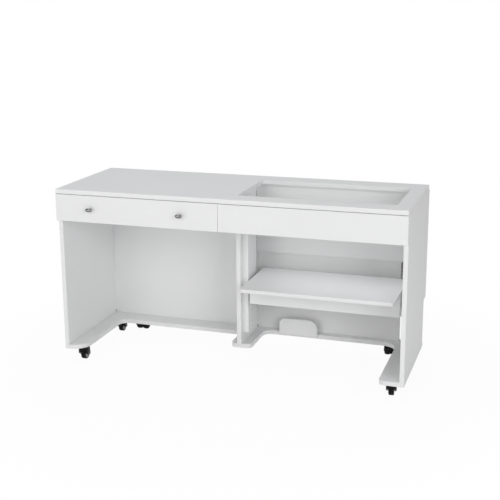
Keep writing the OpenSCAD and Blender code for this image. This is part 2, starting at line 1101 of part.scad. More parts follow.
module leaf_hinge_pins() {
  color(steel)
    place()
      for (x = leaf_hinge_xs)
        bore_x(x - hinge_l / 2, x + hinge_l / 2, hinge_y, hinge_z, hinge_pin_d);
}

// Gate legs

module gate_leg(stem) {
  difference() {
    intersection() {
      translate([0, leg_y + board_t, 0])
        rotate([90, 0, 0])
          linear_extrude(board_t)
            difference() {
              translate([leg_x0, caster_h])
                square([leg_w, leg_top - caster_h]);
              translate([leg_x0, caster_h])
                corner_waste(leg_corner_r);
              translate([leg_x0, leg_top])
                mirror([0, 1])
                  corner_waste(leg_corner_r);
            }
      board_at([leg_x0, leg_y, caster_h], [leg_x1, leg_y + board_t, leg_top]);
    }
    translate([stem[0], stem[1], caster_h - past])
      cylinder(h = stem_l + 2 * past, d = stem_d + 2 * pin_gap);
  }
}

module left_gate_leg() {
  color(white)
    place()
      gate_leg(left_stem);
}

module right_gate_leg() {
  color(white)
    place()
      mirror_at(cab_w / 2)
        gate_leg([cab_w - right_stem[0], right_stem[1]]);
}

// Gate hinges stand at the inner end of each leg, their barrels on the back panel
gate_pin_x = leg_x1 + hinge_r + leaf_gap / 2;

module knuckle_z(z0, z1) {
  translate([gate_pin_x, leg_y, z0])
    difference() {
      cylinder(h = z1 - z0, r = hinge_r);
      translate([0, 0, -past])
        cylinder(h = z1 - z0 + 2 * past, d = hinge_pin_d + 2 * pin_gap);
    }
}

module gate_hinge_plate(z) {
  third = gate_hinge_l / 3;
  difference() {
    union() {
      translate([gate_pin_x + hinge_r, leg_y - hinge_r, z - gate_hinge_l / 2])
        cube([hinge_w, hinge_t, gate_hinge_l]);
      for (z0 = [z - gate_hinge_l / 2, z + third / 2]) {
        translate([gate_pin_x, leg_y - hinge_r, z0])
          cube([hinge_r + past, hinge_t, third]);
        knuckle_z(z0, z0 + third);
      }
    }
    translate([gate_pin_x, leg_y, z - gate_hinge_l])
      cylinder(h = 2 * gate_hinge_l, d = hinge_pin_d + 2 * pin_gap);
  }
  translate([gate_pin_x, leg_y, z - gate_hinge_l / 2])
    cylinder(h = gate_hinge_l, d = hinge_pin_d);
}

module gate_hinge_flap(z) {
  k = gate_hinge_l / 6 - slide_gap;
  difference() {
    union() {
      translate([leg_x1 - hinge_w, leg_y - hinge_t, z - gate_hinge_l / 2])
        cube([hinge_w, hinge_t, gate_hinge_l]);
      translate([leg_x1 - past, leg_y - hinge_t, z - k])
        cube([gate_pin_x - leg_x1 + past, hinge_t, 2 * k]);
      knuckle_z(z - k, z + k);
    }
    translate([gate_pin_x, leg_y, z - gate_hinge_l])
      cylinder(h = 2 * gate_hinge_l, d = hinge_pin_d + 2 * pin_gap);
  }
}

module gate_hinge_plates() {
  color(steel)
    place()
      for (z = gate_hinge_zs) {
        gate_hinge_plate(z);
        mirror_at(cab_w / 2)
          gate_hinge_plate(z);
      }
}

module gate_hinge_flaps() {
  color(steel)
    place()
      for (z = gate_hinge_zs) {
        gate_hinge_flap(z);
        mirror_at(cab_w / 2)
          gate_hinge_flap(z);
      }
}

// Castors; each is drawn about its king pin and trails towards +Y

fork_top = caster_h - plate_t - slide_gap;
wheel_r = wheel_d / 2;
// Room between the wheel and its housing, beside the hub and over the tread
wheel_room = 0.5;
arch_room = 2;
// Height of the housing's round cap
cap_t = 21;
boss_r = 8;
cheek_t = 5;
cheek_foot_r = 5;
plate_r = 8;
hub_w = fork_w - 2 * cheek_t - 2 * wheel_room;
// The king pin ends below the plate's upper face and above the wheel
king_below = 1;
king_top = caster_h - king_below;
king_over = 2;
king_z = wheel_d + king_over;
// How far the axle ends inside the cheeks
axle_in = 1;
// Slope between the dish, the hub and the rim
dish_ease = 1;

module castor_plate() {
  translate([-plate_w / 2, -plate_w / 2, caster_h - plate_t])
    linear_extrude(plate_t)
      round_rect(plate_w, plate_w, plate_r);
  translate([0, 0, king_z])
    cylinder(h = king_top - king_z, d = king_d);
}

module castor_plates() {
  color(steel)
    place()
      for (i = [0 : 3])
        translate([castor_xs[i], castor_ys[i], 0])
          castor_plate();
}

// Side view of the housing: it narrows from the round cap to the boss around the axle
module housing_side() {
  hull() {
    translate([-fork_w / 2, fork_top - cap_t])
      square([fork_w, cap_t]);
    translate([trail, wheel_r])
      circle(boss_r);
  }
}

// Front view of the housing: each cheek ends in a rounded corner
module housing_front() {
  cheek_z = wheel_r - boss_r;
  difference() {
    translate([-fork_w / 2, cheek_z])
      square([fork_w, fork_top - cheek_z]);
    for (s = [0, 1])
      mirror([s, 0])
        translate([-fork_w / 2, cheek_z])
          corner_waste(cheek_foot_r);
  }
}

module housing_body() {
  intersection() {
    rotate([90, 0, 90])
      translate([0, 0, -fork_w / 2])
        linear_extrude(fork_w)
          housing_side();
    translate([0, trail + fork_w, 0])
      rotate([90, 0, 0])
        linear_extrude(trail + 2 * fork_w)
          housing_front();
    union() {
      cylinder(h = fork_top, d = fork_w);
      translate([-fork_w / 2, 0, 0])
        cube([fork_w, trail + boss_r, fork_top]);
    }
  }
}

module housing() {
  inside_w = fork_w - 2 * cheek_t;
  difference() {
    housing_body();
    bore_x(-inside_w / 2, inside_w / 2, trail, wheel_r, wheel_d + 2 * arch_room);
    translate([-inside_w / 2, trail - wheel_r - arch_room, -past])
      cube([inside_w, wheel_d + 2 * arch_room, wheel_r + past]);
    bore_x(-fork_w, fork_w, trail, wheel_r, axle_d + 2 * pin_gap);
    translate([0, 0, wheel_d])
      cylinder(h = caster_h, d = king_d + 2 * pin_gap);
  }
  bore_x(-fork_w / 2 + axle_in, fork_w / 2 - axle_in, trail, wheel_r, axle_d);
}

// Half of a wheel's section, from the bore over the hub and the dished side to the tread
function wheel_section(s) = [
  [axle_d / 2 + pin_gap, s * hub_w / 2],
  [hub_d / 2 - dish_ease, s * hub_w / 2],
  [hub_d / 2, s * (wheel_w / 2 - dish_d)],
  [wheel_r - rim_t - dish_ease, s * (wheel_w / 2 - dish_d)],
  [wheel_r - rim_t, s * wheel_w / 2],
  [wheel_r - tread_r, s * wheel_w / 2],
  [wheel_r, s * (wheel_w / 2 - tread_r)]
];

module wheel() {
  low = wheel_section(-1);
  high = wheel_section(1);
  rotate([0, 90, 0])
    rotate_extrude()
      polygon(concat(low, [for (i = [len(high) - 1 : -1 : 0]) high[i]]));
}

module at_castor(i) {
  place()
    translate([castor_xs[i], castor_ys[i], 0])
      rotate(castor_turns[i])
        children();
}

module castor_housing(i) {
  color(black)
    at_castor(i)
      housing();
}

module castor_wheel(i) {
  color(black)
    at_castor(i)
      translate([0, trail, wheel_r])
        wheel();
}

module front_left_housing() {
  castor_housing(0);
}

module front_right_housing() {
  castor_housing(1);
}

module rear_left_housing() {
  castor_housing(2);
}

module rear_right_housing() {
  castor_housing(3);
}

module front_left_wheel() {
  castor_wheel(0);
}

module front_right_wheel() {
  castor_wheel(1);
}

module rear_left_wheel() {
  castor_wheel(2);
}

module rear_right_wheel() {
  castor_wheel(3);
}

// Twin-wheel castors under the gate legs: a web between the wheels, a hood and a stem

twin_r = twin_d / 2;
hood_r = twin_r + twin_hood_t;
// Room between a twin wheel and its hood
twin_gap = 1;
hood_w = twin_web + 2 * twin_w + 2 * twin_gap;
// How far the web stays inside the wheels' rims
web_in = 3;
web_d = twin_d - 2 * web_in;

module twin_hood() {
  difference() {
    union() {
      intersection() {
        bore_x(-hood_w / 2, hood_w / 2, twin_trail, twin_r, 2 * hood_r);
        translate([-hood_w / 2, twin_trail - hood_r - past, twin_r])
          cube([hood_w, 2 * hood_r + 2 * past, hood_r + past]);
      }
      bore_x(-twin_web / 2 + twin_gap, twin_web / 2 - twin_gap, twin_trail, twin_r, web_d);
      translate([0, 0, twin_r])
        cylinder(h = caster_h - twin_r - slide_gap, d = twin_stem_d);
    }
    for (s = [-1, 1])
      translate([s * (twin_web / 2 + twin_w / 2 + twin_gap), 0, 0])
        bore_x(-twin_w / 2 - twin_gap, twin_w / 2 + twin_gap, twin_trail, twin_r, twin_d + 2 * twin_gap);
    bore_x(-hood_w, hood_w, twin_trail, twin_r, axle_d + 2 * pin_gap);
  }
  bore_x(-hood_w / 2 + axle_in, hood_w / 2 - axle_in, twin_trail, twin_r, axle_d);
  translate([0, 0, caster_h - slide_gap])
    cylinder(h = stem_l, d = stem_d);
}

module twin_wheel(x) {
  translate([x, twin_trail, twin_r])
    rotate([0, 90, 0])
      rotate_extrude()
        polygon([
          [axle_d / 2 + pin_gap, 0],
          [twin_r - twin_edge, 0],
          [twin_r, twin_edge],
          [twin_r, twin_w - twin_edge],
          [twin_r - twin_edge, twin_w],
          [axle_d / 2 + pin_gap, twin_w]
        ]);
}

module twin_pair() {
  twin_wheel(twin_web / 2);
  mirror([1, 0, 0])
    twin_wheel(twin_web / 2);
}

module at_stem(stem) {
  place()
    translate([stem[0], stem[1], 0])
      children();
}

module left_twin_hood() {
  color(black)
    at_stem(left_stem)
      twin_hood();
}

module right_twin_hood() {
  color(black)
    at_stem(right_stem)
      twin_hood();
}

module left_twin_wheels() {
  color(black)
    at_stem(left_stem)
      twin_pair();
}

module right_twin_wheels() {
  color(black)
    at_stem(right_stem)
      twin_pair();
}

top_slab();
left_side_panel();
right_side_panel();
divider();
base_board();
left_back_panel();
right_back_panel();
left_rear_rail();
right_rear_rail();
front_apron();
apron_cleat();
dowels();
cable_guard();
drawer_front();
drawer_left_side();
drawer_right_side();
drawer_inner_front();
drawer_back();
drawer_bottom();
left_knob();
right_knob();
knob_screws();
drawer_rails();
drawer_runners();
left_lift_column();
right_lift_column();
lift_tracks();
lift_runners();
carriage_plates();
carriage_sides();
machine_platform();
platform_front_beam();
platform_rear_beam();
spring_anchors();
spring_arms();
left_lift_spring();
right_lift_spring();
lift_rests();
rear_leaf();
leaf_hinge_plates();
leaf_hinge_flaps();
leaf_hinge_pins();
left_gate_leg();
right_gate_leg();
gate_hinge_plates();
gate_hinge_flaps();
castor_plates();
front_left_housing();
front_right_housing();
rear_left_housing();
rear_right_housing();
front_left_wheel();
front_right_wheel();
rear_left_wheel();
rear_right_wheel();
left_twin_hood();
right_twin_hood();
left_twin_wheels();
right_twin_wheels();
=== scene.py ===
"""Sewing cabinet: finishes for its boards and fittings, and its small turned, coiled and moulded pieces."""

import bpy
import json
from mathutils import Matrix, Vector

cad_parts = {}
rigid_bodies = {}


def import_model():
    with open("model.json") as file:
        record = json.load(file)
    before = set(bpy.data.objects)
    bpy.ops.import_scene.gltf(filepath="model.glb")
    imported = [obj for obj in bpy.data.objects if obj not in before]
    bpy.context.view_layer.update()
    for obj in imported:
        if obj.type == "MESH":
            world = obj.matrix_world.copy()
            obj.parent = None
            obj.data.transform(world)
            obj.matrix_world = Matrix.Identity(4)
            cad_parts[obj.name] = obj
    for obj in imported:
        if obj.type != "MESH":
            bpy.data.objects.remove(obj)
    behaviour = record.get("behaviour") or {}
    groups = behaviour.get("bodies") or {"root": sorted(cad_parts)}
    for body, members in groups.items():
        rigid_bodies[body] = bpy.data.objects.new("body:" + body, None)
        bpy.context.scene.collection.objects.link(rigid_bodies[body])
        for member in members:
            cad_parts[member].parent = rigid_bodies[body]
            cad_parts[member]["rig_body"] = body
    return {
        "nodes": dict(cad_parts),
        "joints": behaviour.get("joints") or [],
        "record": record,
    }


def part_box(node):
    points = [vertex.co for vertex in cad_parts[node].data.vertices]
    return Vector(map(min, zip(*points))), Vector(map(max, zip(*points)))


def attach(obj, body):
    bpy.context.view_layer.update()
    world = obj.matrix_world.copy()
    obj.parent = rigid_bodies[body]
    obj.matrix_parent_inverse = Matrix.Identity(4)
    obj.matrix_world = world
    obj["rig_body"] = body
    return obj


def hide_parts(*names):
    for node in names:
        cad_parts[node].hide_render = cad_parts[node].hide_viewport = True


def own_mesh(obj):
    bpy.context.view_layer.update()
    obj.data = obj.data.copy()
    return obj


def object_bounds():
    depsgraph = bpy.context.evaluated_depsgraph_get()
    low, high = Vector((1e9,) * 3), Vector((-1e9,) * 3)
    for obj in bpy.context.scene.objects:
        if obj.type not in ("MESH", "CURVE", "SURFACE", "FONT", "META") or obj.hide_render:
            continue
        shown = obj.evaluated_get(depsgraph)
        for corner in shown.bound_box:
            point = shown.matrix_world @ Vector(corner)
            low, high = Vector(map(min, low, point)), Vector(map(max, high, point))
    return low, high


bl_info = {
    "name": "Sewing Cabinet",
    "version": (1, 0, 0),
    "blender": (4, 5, 0),
    "location": "View3D > Sidebar > Sewing Cabinet",
    "description": "Dresses a white sewing cabinet with laminate, metalwork, castors, springs and screws",
    "category": "Object",
}

import json
import math

import bmesh
import bpy
from mathutils import Matrix, Vector

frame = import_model()
CAD_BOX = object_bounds()

MM = 0.001
UP = Vector((0, 0, 1))
# Corners closer than this are one corner, and faces that meet at less than this angle are one face
SAME_PLACE = 0.01 * MM
FLAT = math.radians(0.5)

# Nodes of the model by what they are made of
SLOTS = {part["node"]: part["material_slot"] for part in frame["record"]["subparts"]}
BOARDS = [name for name in frame["nodes"] if SLOTS[name] == "white_laminate"]
BODY_OF = {name: piece["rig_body"] for name, piece in frame["nodes"].items()}
JOINTS = {joint["name"]: joint for joint in frame["joints"]}
CASTORS = ("front_left", "front_right", "rear_left", "rear_right")
TWINS = ("left_twin", "right_twin")


# Sizes and colours that a user may change

def colour(name, description, value):
    return bpy.props.FloatVectorProperty(
        name=name, description=description, subtype="COLOR", size=3, min=0, max=1, default=value)


def length(name, description, value):
    return bpy.props.FloatProperty(
        name=name, description=description, default=value, min=0, precision=5,
        unit="LENGTH", subtype="DISTANCE")


def number(name, description, value, low, high):
    return bpy.props.IntProperty(name=name, description=description, default=value, min=low, max=high)


def power(name, description, value):
    return bpy.props.FloatProperty(name=name, description=description, default=value, min=0, unit="POWER")


def factor(name, description, value):
    return bpy.props.FloatProperty(
        name=name, description=description, default=value, min=0, max=1, subtype="FACTOR")


class BoardFinish(bpy.types.PropertyGroup):
    """Melamine faces and edge banding of the boards."""
    face: colour("Face", "Colour of the melamine faces", (0.88, 0.883, 0.886))
    edge: colour("Edge Banding", "Colour of the banding along the board edges", (0.88, 0.882, 0.885))
    roughness: factor("Roughness", "Roughness of the melamine faces", 0.36)
    banding: length("Banding Thickness", "Thickness of the edge banding", 0.001)
    pearl: length("Pearl Depth", "Depth of the fine texture pressed into the melamine", 0.00003)


class FittingFinish(bpy.types.PropertyGroup):
    """Metals, plastics and other small parts."""
    zinc: colour("Zinc", "Colour of the zinc plated steel", (0.80, 0.805, 0.815))
    # The knobs' nickel is darker than the metal's own colour: painted shade for the dark surroundings that
    # the real knobs mirror
    shade_darkened_nickel: colour("Nickel", "Colour of the bright knobs", (0.27, 0.266, 0.262))
    spring: colour("Spring Wire", "Colour of the drawn spring wire", (0.42, 0.42, 0.43))
    plastic: colour("Plastic", "Colour of the castors' housings", (0.004, 0.004, 0.0042))
    tread: colour("Tread", "Colour of the castors' treads", (0.006, 0.006, 0.0062))
    # The light grey of the cores is partly a grey core and partly a painted highlight: the bright crescent
    # on a wheel's side
    core: colour("Wheel Core", "Colour of the castors' wheel cores", (0.36, 0.36, 0.37))
    painted: colour("Painted Steel", "Colour of the castors' top plates", (0.005, 0.005, 0.0052))
    bracket: colour("Brackets", "Colour of the painted brackets under the lift", (0.86, 0.86, 0.865))
    # The corner caps are a dark grey that paints in the shade of the gaps low in the bays' rear corners
    cap: colour("Screw Cap", "Colour of the small caps over the corner screws", (0.09, 0.09, 0.09))
    beech: colour("Beech", "Colour of the dowels", (0.58, 0.40, 0.24))


class SpringSizes(bpy.types.PropertyGroup):
    """The two extension springs of the lift."""
    wire: length("Wire", "Diameter of the spring wire", 0.0024)
    turns: number("Turns", "Turns of each spring", 40, 4, 80)
    steps: number("Steps", "Points along each turn", 20, 8, 48)
    stem: length("Stem", "Straight wire at each end of a spring", 0.008)


class ScrewSizes(bpy.types.PropertyGroup):
    """Cross-recessed screws that hold the hinges, tracks, brackets and castors."""
    head: length("Head", "Diameter of a screw's head", 0.0068)
    rise: length("Rise", "Height of a screw's head", 0.0013)
    slot: length("Slot", "Width of the cross recess", 0.0009)
    seed: number("Seed", "Seed of the screws' turn", 5, 0, 1000)
    # The corner caps paint in the shade of the gaps in the bays' rear corners
    cap: length("Cap", "Diameter of the caps over the corner screws", 0.0075)


class CastorSizes(bpy.types.PropertyGroup):
    """Details of the castors."""
    rounding: length("Rounding", "Radius along the edges of the moulded housings", 0.0012)
    groove: length("Mould Line", "Depth of the fine line round a wheel's tread", 0.0002)
    cap: length("Axle Cap", "Diameter of the caps over the axles", 0.0095)
    gloss: factor("Gloss", "Strength of the mirroring on the housings", 0.14)


class StageLook(bpy.types.PropertyGroup):
    """Lights, world light and floor."""
    key: power("Key", "Power of the front light", 42)
    low: power("Low Fill", "Power of the low light on the left, which fills the bays", 14)
    side: power("Side Fill", "Power of the light on the right", 78)
    top: power("Top", "Power of the light above", 71)
    world: bpy.props.FloatProperty(
        name="World", description="Strength of the light all round", default=0.29, min=0)
    floor: colour("Floor", "Colour of the floor", (0.92, 0.92, 0.92))


# Shader and mesh helpers

# What the group of every finish works out
RESULTS = {"Colour": "Color", "Roughness": "Float", "Height": "Float"}


def add(tree, kind, inputs=None, **settings):
    """Adds a node; its inputs are values, the sockets that feed them, or nodes whose first output does."""
    made = tree.nodes.new(kind)
    for name, value in settings.items():
        setattr(made, name, value)
    for key, value in (inputs or {}).items():
        if isinstance(value, bpy.types.Node):
            value = value.outputs[0]
        if isinstance(value, bpy.types.NodeSocket):
            tree.links.new(value, made.inputs[key])
        else:
            made.inputs[key].default_value = value
    return made


def maths(tree, operation, *values, clamp=False):
    made = add(tree, "ShaderNodeMath", dict(enumerate(values)), operation=operation, use_clamp=clamp)
    return made.outputs[0]


def times(tree, *values):
    return maths(tree, "MULTIPLY", *values)


def plus(tree, *values, clamp=False):
    return maths(tree, "ADD", *values, clamp=clamp)


def minus(tree, *values):
    return maths(tree, "SUBTRACT", *values)


def vectors(tree, operation, *values):
    made = add(tree, "ShaderNodeVectorMath", dict(enumerate(values)), operation=operation)
    return made.outputs["Value" if operation == "DOT_PRODUCT" else "Vector"]


def shift(tree, value, low, high, new_low, new_high, smooth=False):
    kind = "SMOOTHSTEP" if smooth else "LINEAR"
    made = add(tree, "ShaderNodeMapRange", {0: value, 1: low, 2: high, 3: new_low, 4: new_high},
               interpolation_type=kind)
    return made.outputs[0]


def noise(tree, place, scale, detail):
    made = add(tree, "ShaderNodeTexNoise", {"Vector": place, "Scale": scale, "Detail": detail})
    return made.outputs["Fac"]


def mix_colours(tree, amount, first, second):
    made = add(tree, "ShaderNodeMix", {0: amount, 6: first, 7: second}, data_type="RGBA")
    return made.outputs[2]


def darken(tree, tone, shade):
    """A colour times a grey value."""
    grey = add(tree, "ShaderNodeCombineColor", {0: shade, 1: shade, 2: shade})
    made = add(tree, "ShaderNodeMix", {0: 1.0, 6: tone, 7: grey}, data_type="RGBA", blend_type="MULTIPLY")
    return made.outputs[2]


def new_group(kind, name, inputs, outputs):
    """A new node group; returns its tree, the sockets of its inputs and those of its outputs."""
    tree = bpy.data.node_groups.new(name, kind)
    for way, sockets in (("INPUT", inputs), ("OUTPUT", outputs)):
        for label, socket in sockets.items():
            tree.interface.new_socket(label, in_out=way, socket_type="NodeSocket" + socket)
    return tree, tree.nodes.new("NodeGroupInput").outputs, tree.nodes.new("NodeGroupOutput").inputs


def finish_group(name, inputs):
    return new_group("ShaderNodeTree", name, inputs, RESULTS)


def give(tree, out, *values):
    """Sends a finish's results to its group's outputs."""
    for label, value in zip(RESULTS, values):
        tree.links.new(value, out[label])
    return tree


def place_group(tree, group, **inputs):
    made = tree.nodes.new("ShaderNodeGroup")
    made.node_tree = group
    for label, value in inputs.items():
        made.inputs[label.replace("_", " ")].default_value = value
    return made


def rgba(values):
    return (*values, 1.0)


def surface(name, group, bump, metallic=0.0, mirror=0.5, **inputs):
    """A material whose colour, roughness and relief come from a node group."""
    material = bpy.data.materials.new(name)
    material.use_nodes = True
    tree = material.node_tree
    shader = tree.nodes["Principled BSDF"]
    shader.inputs["Metallic"].default_value = metallic
    shader.inputs["Specular IOR Level"].default_value = mirror
    pattern = place_group(tree, group, **inputs)
    relief = add(tree, "ShaderNodeBump", {
        "Strength": 1.0, "Distance": bump, "Height": pattern.outputs["Height"]})
    tree.links.new(pattern.outputs["Colour"], shader.inputs["Base Color"])
    tree.links.new(pattern.outputs["Roughness"], shader.inputs["Roughness"])
    tree.links.new(relief.outputs["Normal"], shader.inputs["Normal"])
    return material


def cover(piece, material):
    """Puts one material on every slot of a piece."""
    slots = piece.data.materials
    if not slots:
        slots.append(material)
    for index in range(len(slots)):
        slots[index] = material


def in_scene(name, data):
    thing = bpy.data.objects.new(name, data)
    bpy.context.scene.collection.objects.link(thing)
    return thing


def as_piece(name, mesh, smooth_below):
    """A piece that is smooth where its faces meet at less than an angle in degrees."""
    mesh.shade_smooth()
    mesh.set_sharp_from_angle(angle=math.radians(smooth_below))
    return in_scene(name, mesh)


def build(name, mesh_data, material, smooth_below=35):
    """Makes a piece from a bmesh."""
    mesh = bpy.data.meshes.new(name)
    mesh_data.to_mesh(mesh)
    mesh_data.free()
    piece = as_piece(name, mesh, smooth_below)
    cover(piece, material)
    return piece


def stand_for(piece, node):
    """The piece takes a node's place: its body and its room."""
    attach(piece, BODY_OF[node])
    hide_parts(node)


def put_in(whole, part):
    """Adds one bmesh to another and frees it."""
    holder = bpy.data.meshes.new("part")
    part.to_mesh(holder)
    part.free()
    whole.from_mesh(holder)
    bpy.data.meshes.remove(holder)


def middle(node):
    low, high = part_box(node)
    return (low + high) / 2


def merged(node):
    """A copy of a node's mesh with its loose triangles joined and its flat faces made whole."""
    mesh = bmesh.new()
    mesh.from_mesh(frame["nodes"][node].data)
    bmesh.ops.remove_doubles(mesh, verts=mesh.verts, dist=SAME_PLACE)
    bmesh.ops.dissolve_limit(mesh, angle_limit=FLAT, verts=mesh.verts, edges=mesh.edges)
    return mesh


def solid_boxes(node):
    """Lowest and highest corner of each separate solid in a node, by left end, then height, then front."""
    mesh = merged(node)
    boxes = []
    waiting = set(mesh.verts)
    while waiting:
        group = [waiting.pop()]
        for vertex in group:
            for edge in vertex.link_edges:
                other = edge.other_vert(vertex)
                if other in waiting:
                    waiting.remove(other)
                    group.append(other)
        places = [vertex.co for vertex in group]
        low = Vector(min(place[axis] for place in places) for axis in range(3))
        high = Vector(max(place[axis] for place in places) for axis in range(3))
        boxes.append((low, high))
    mesh.free()
    return sorted(boxes, key=lambda box: (round(box[0].x, 4), round(box[0].z, 4), round(box[0].y, 4)))


def skin(mesh, rings):
    """Joins each ring of corners to the next; a ring may also be a single point."""
    for first, second in zip(rings, rings[1:]):
        steps = max(len(first), len(second))
        for step in range(steps):
            after = (step + 1) % steps
            corners = [first[step % len(first)], first[after % len(first)],
                       second[after % len(second)], second[step % len(second)]]
            mesh.faces.new(dict.fromkeys(corners))
    bmesh.ops.recalc_face_normals(mesh, faces=mesh.faces)


def sized(profile, wide, radius, start=0):
    """A profile that is written in shares, at its real size."""
    return [(start + along * wide, away * radius) for along, away in profile]


def lathe(profile, steps):
    """A closed solid about X; the profile runs from the axis out and back, as (along, radius)."""
    mesh = bmesh.new()
    rings = []
    for along, radius in profile:
        if radius == 0:
            rings.append([mesh.verts.new((along, 0, 0))])
            continue
        ring = []
        for step in range(steps):
            turn = 2 * math.pi * step / steps
            ring.append(mesh.verts.new((along, radius * math.cos(turn), radius * math.sin(turn))))
        rings.append(ring)
    skin(mesh, rings)
    return mesh


# Finishes

def laminate_group():
    """Melamine with a pressed pearl texture, banded edges and a hairline where banding meets face."""
    hairline, hairline_shade, hairline_depth = 0.18 * MM, 0.72, 1.5
    # A face is an edge where its normal lies along the board's thickness by less than this
    edge_below = 0.6
    tree, given, out = finish_group("Laminated Board", {
        "Face": "Color", "Edge": "Color", "Roughness": "Float", "Banding": "Float",
        "Low Corner": "Vector", "High Corner": "Vector", "Thin Axis": "Vector",
        "Hole Low": "Vector", "Hole High": "Vector"})
    spot = tree.nodes.new("ShaderNodeTexCoord")
    place, facing = spot.outputs["Object"], spot.outputs["Normal"]
    # Distance to the nearest edge of the board, with its thickness left out
    inset = vectors(tree, "MINIMUM", vectors(tree, "SUBTRACT", place, given["Low Corner"]),
                    vectors(tree, "SUBTRACT", given["High Corner"], place))
    far = vectors(tree, "MULTIPLY", given["Thin Axis"], (10, 10, 10))
    inset = vectors(tree, "ADD", inset, far)
    inset = add(tree, "ShaderNodeSeparateXYZ", {0: inset})
    outer = maths(tree, "MINIMUM", inset.outputs[0], inset.outputs[1])
    outer = maths(tree, "MINIMUM", outer, inset.outputs[2])
    # Distance to a cut-out in the board
    away = vectors(tree, "MAXIMUM", vectors(tree, "SUBTRACT", given["Hole Low"], place),
                   vectors(tree, "SUBTRACT", place, given["Hole High"]))
    away = add(tree, "ShaderNodeSeparateXYZ", {0: away})
    inner = maths(tree, "MAXIMUM", away.outputs[0], away.outputs[1])
    inner = maths(tree, "MAXIMUM", inner, away.outputs[2])
    distance = maths(tree, "MINIMUM", outer, inner)
    along = maths(tree, "ABSOLUTE", vectors(tree, "DOT_PRODUCT", facing, given["Thin Axis"]))
    on_edge = maths(tree, "LESS_THAN", along, edge_below)
    from_joint = maths(tree, "ABSOLUTE", minus(tree, distance, given["Banding"]))
    joint = shift(tree, from_joint, 0.0, hairline, 1.0, 0.0, smooth=True)
    joint = times(tree, joint, minus(tree, 1.0, on_edge))
    near_edge = maths(tree, "LESS_THAN", distance, given["Banding"])
    band = maths(tree, "MAXIMUM", on_edge, near_edge)
    # Slow clouds, as printed and pressed paper has
    clouds = shift(tree, noise(tree, place, 5.0, 3.0), 0.3, 0.7, 0.985, 1.0)
    tone = mix_colours(tree, band, given["Face"], given["Edge"])
    shade = times(tree, clouds, shift(tree, joint, 0.0, 1.0, 1.0, hairline_shade))
    tone = darken(tree, tone, shade)
    pearl = noise(tree, place, 1400.0, 2.0)
    sheen = shift(tree, noise(tree, place, 38.0, 4.0), 0.3, 0.7, -0.025, 0.035)
    rough = plus(tree, plus(tree, given["Roughness"], sheen), times(tree, band, -0.06))
    height = times(tree, pearl, shift(tree, band, 0.0, 1.0, 1.0, 0.35))
    groove = times(tree, joint, hairline_depth)
    return give(tree, out, tone, rough, minus(tree, height, groove))


def metal_group():
    """Plated or drawn metal: fine streaks along one axis and a slow mottle."""
    tree, given, out = finish_group("Plated Metal", {
        "Metal": "Color", "Roughness": "Float", "Streaks": "Vector", "Mottle": "Float"})
    place = tree.nodes.new("ShaderNodeTexCoord").outputs["Object"]
    lines = noise(tree, vectors(tree, "MULTIPLY", place, given["Streaks"]), 1.0, 3.0)
    mottle = noise(tree, place, 160.0, 4.0)
    shade = plus(tree, shift(tree, lines, 0.3, 0.7, 0.93, 1.03),
                 times(tree, minus(tree, mottle, 0.5), given["Mottle"]))
    sheen = shift(tree, lines, 0.3, 0.7, -0.05, 0.07)
    rough = plus(tree, given["Roughness"], sheen, clamp=True)
    return give(tree, out, darken(tree, given["Metal"], shade), rough, lines)


def moulded_group():
    """Moulded plastic, rubber or paint: a fine grain and patches of dust."""
    tree, given, out = finish_group("Moulded Plastic", {
        "Plastic": "Color", "Roughness": "Float", "Grain": "Float", "Dust": "Float"})
    place = tree.nodes.new("ShaderNodeTexCoord").outputs["Object"]
    grain = noise(tree, place, given["Grain"], 3.0)
    dust = shift(tree, noise(tree, place, 90.0, 5.0), 0.52, 0.75, 0.0, 1.0, smooth=True)
    dust = times(tree, dust, given["Dust"])
    tone = mix_colours(tree, dust, given["Plastic"], (0.32, 0.31, 0.30, 1.0))
    sheen = shift(tree, grain, 0.3, 0.7, -0.06, 0.08)
    rough = plus(tree, given["Roughness"], sheen, clamp=True)
    return give(tree, out, tone, plus(tree, rough, dust), grain)


def beech_group():
    """Turned beech: long grain with short dark flecks."""
    tree, given, out = finish_group("Beech", {"Wood": "Color"})
    place = tree.nodes.new("ShaderNodeTexCoord").outputs["Object"]
    grain = noise(tree, vectors(tree, "MULTIPLY", place, (700, 700, 40)), 1.0, 4.0)
    flecks = noise(tree, vectors(tree, "MULTIPLY", place, (1500, 1500, 250)), 1.0, 1.0)
    dark = plus(tree, shift(tree, grain, 0.3, 0.7, 0.0, 0.35), shift(tree, flecks, 0.6, 0.7, 0.0, 0.3))
    tone = mix_colours(tree, dark, given["Wood"], (0.30, 0.17, 0.09, 1.0))
    return give(tree, out, tone, shift(tree, grain, 0.3, 0.7, 0.5, 0.7), grain)


def shared(name, maker):
    """A shared group, built the first time that it is asked for."""
    return bpy.data.node_groups.get(name) or maker()


def laminate(node):
    finish = bpy.context.scene.board_finish
    low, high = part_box(node)
    # A node of two mirrored boards is thin along the thickness of one of them
    first_low, first_high = solid_boxes(node)[0]
    thin = min(range(3), key=lambda axis: first_high[axis] - first_low[axis])
    across = Vector((0, 0, 0))
    across[thin] = 1
    # A board without a cut-out has one far outside it
    far = 50
    hole_low, hole_high = Vector((far, far, -far)), Vector((far + 1, far + 1, far))
    if node == "top_slab":
        # The platform fills the opening with a narrow gap all round
        well_low, well_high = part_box("machine_platform")
        gap = Vector((2 * MM, 2 * MM, 0))
        hole_low, hole_high = well_low - gap, well_high + gap
        hole_low.z, hole_high.z = -far, far
    return surface("laminate_" + node, shared("Laminated Board", laminate_group), finish.pearl,
                   Face=rgba(finish.face), Edge=rgba(finish.edge), Roughness=finish.roughness,
                   Banding=finish.banding, Low_Corner=low, High_Corner=high, Thin_Axis=across,
                   Hole_Low=hole_low, Hole_High=hole_high)


def fitting_colour(name):
    return rgba(getattr(bpy.context.scene.fitting_finish, name))


def metal(name, bump, tone, **settings):
    """A metal that several pieces share, made the first time that it is asked for."""
    return bpy.data.materials.get(name) or surface(
        name, shared("Plated Metal", metal_group), bump, Metal=fitting_colour(tone), **settings)


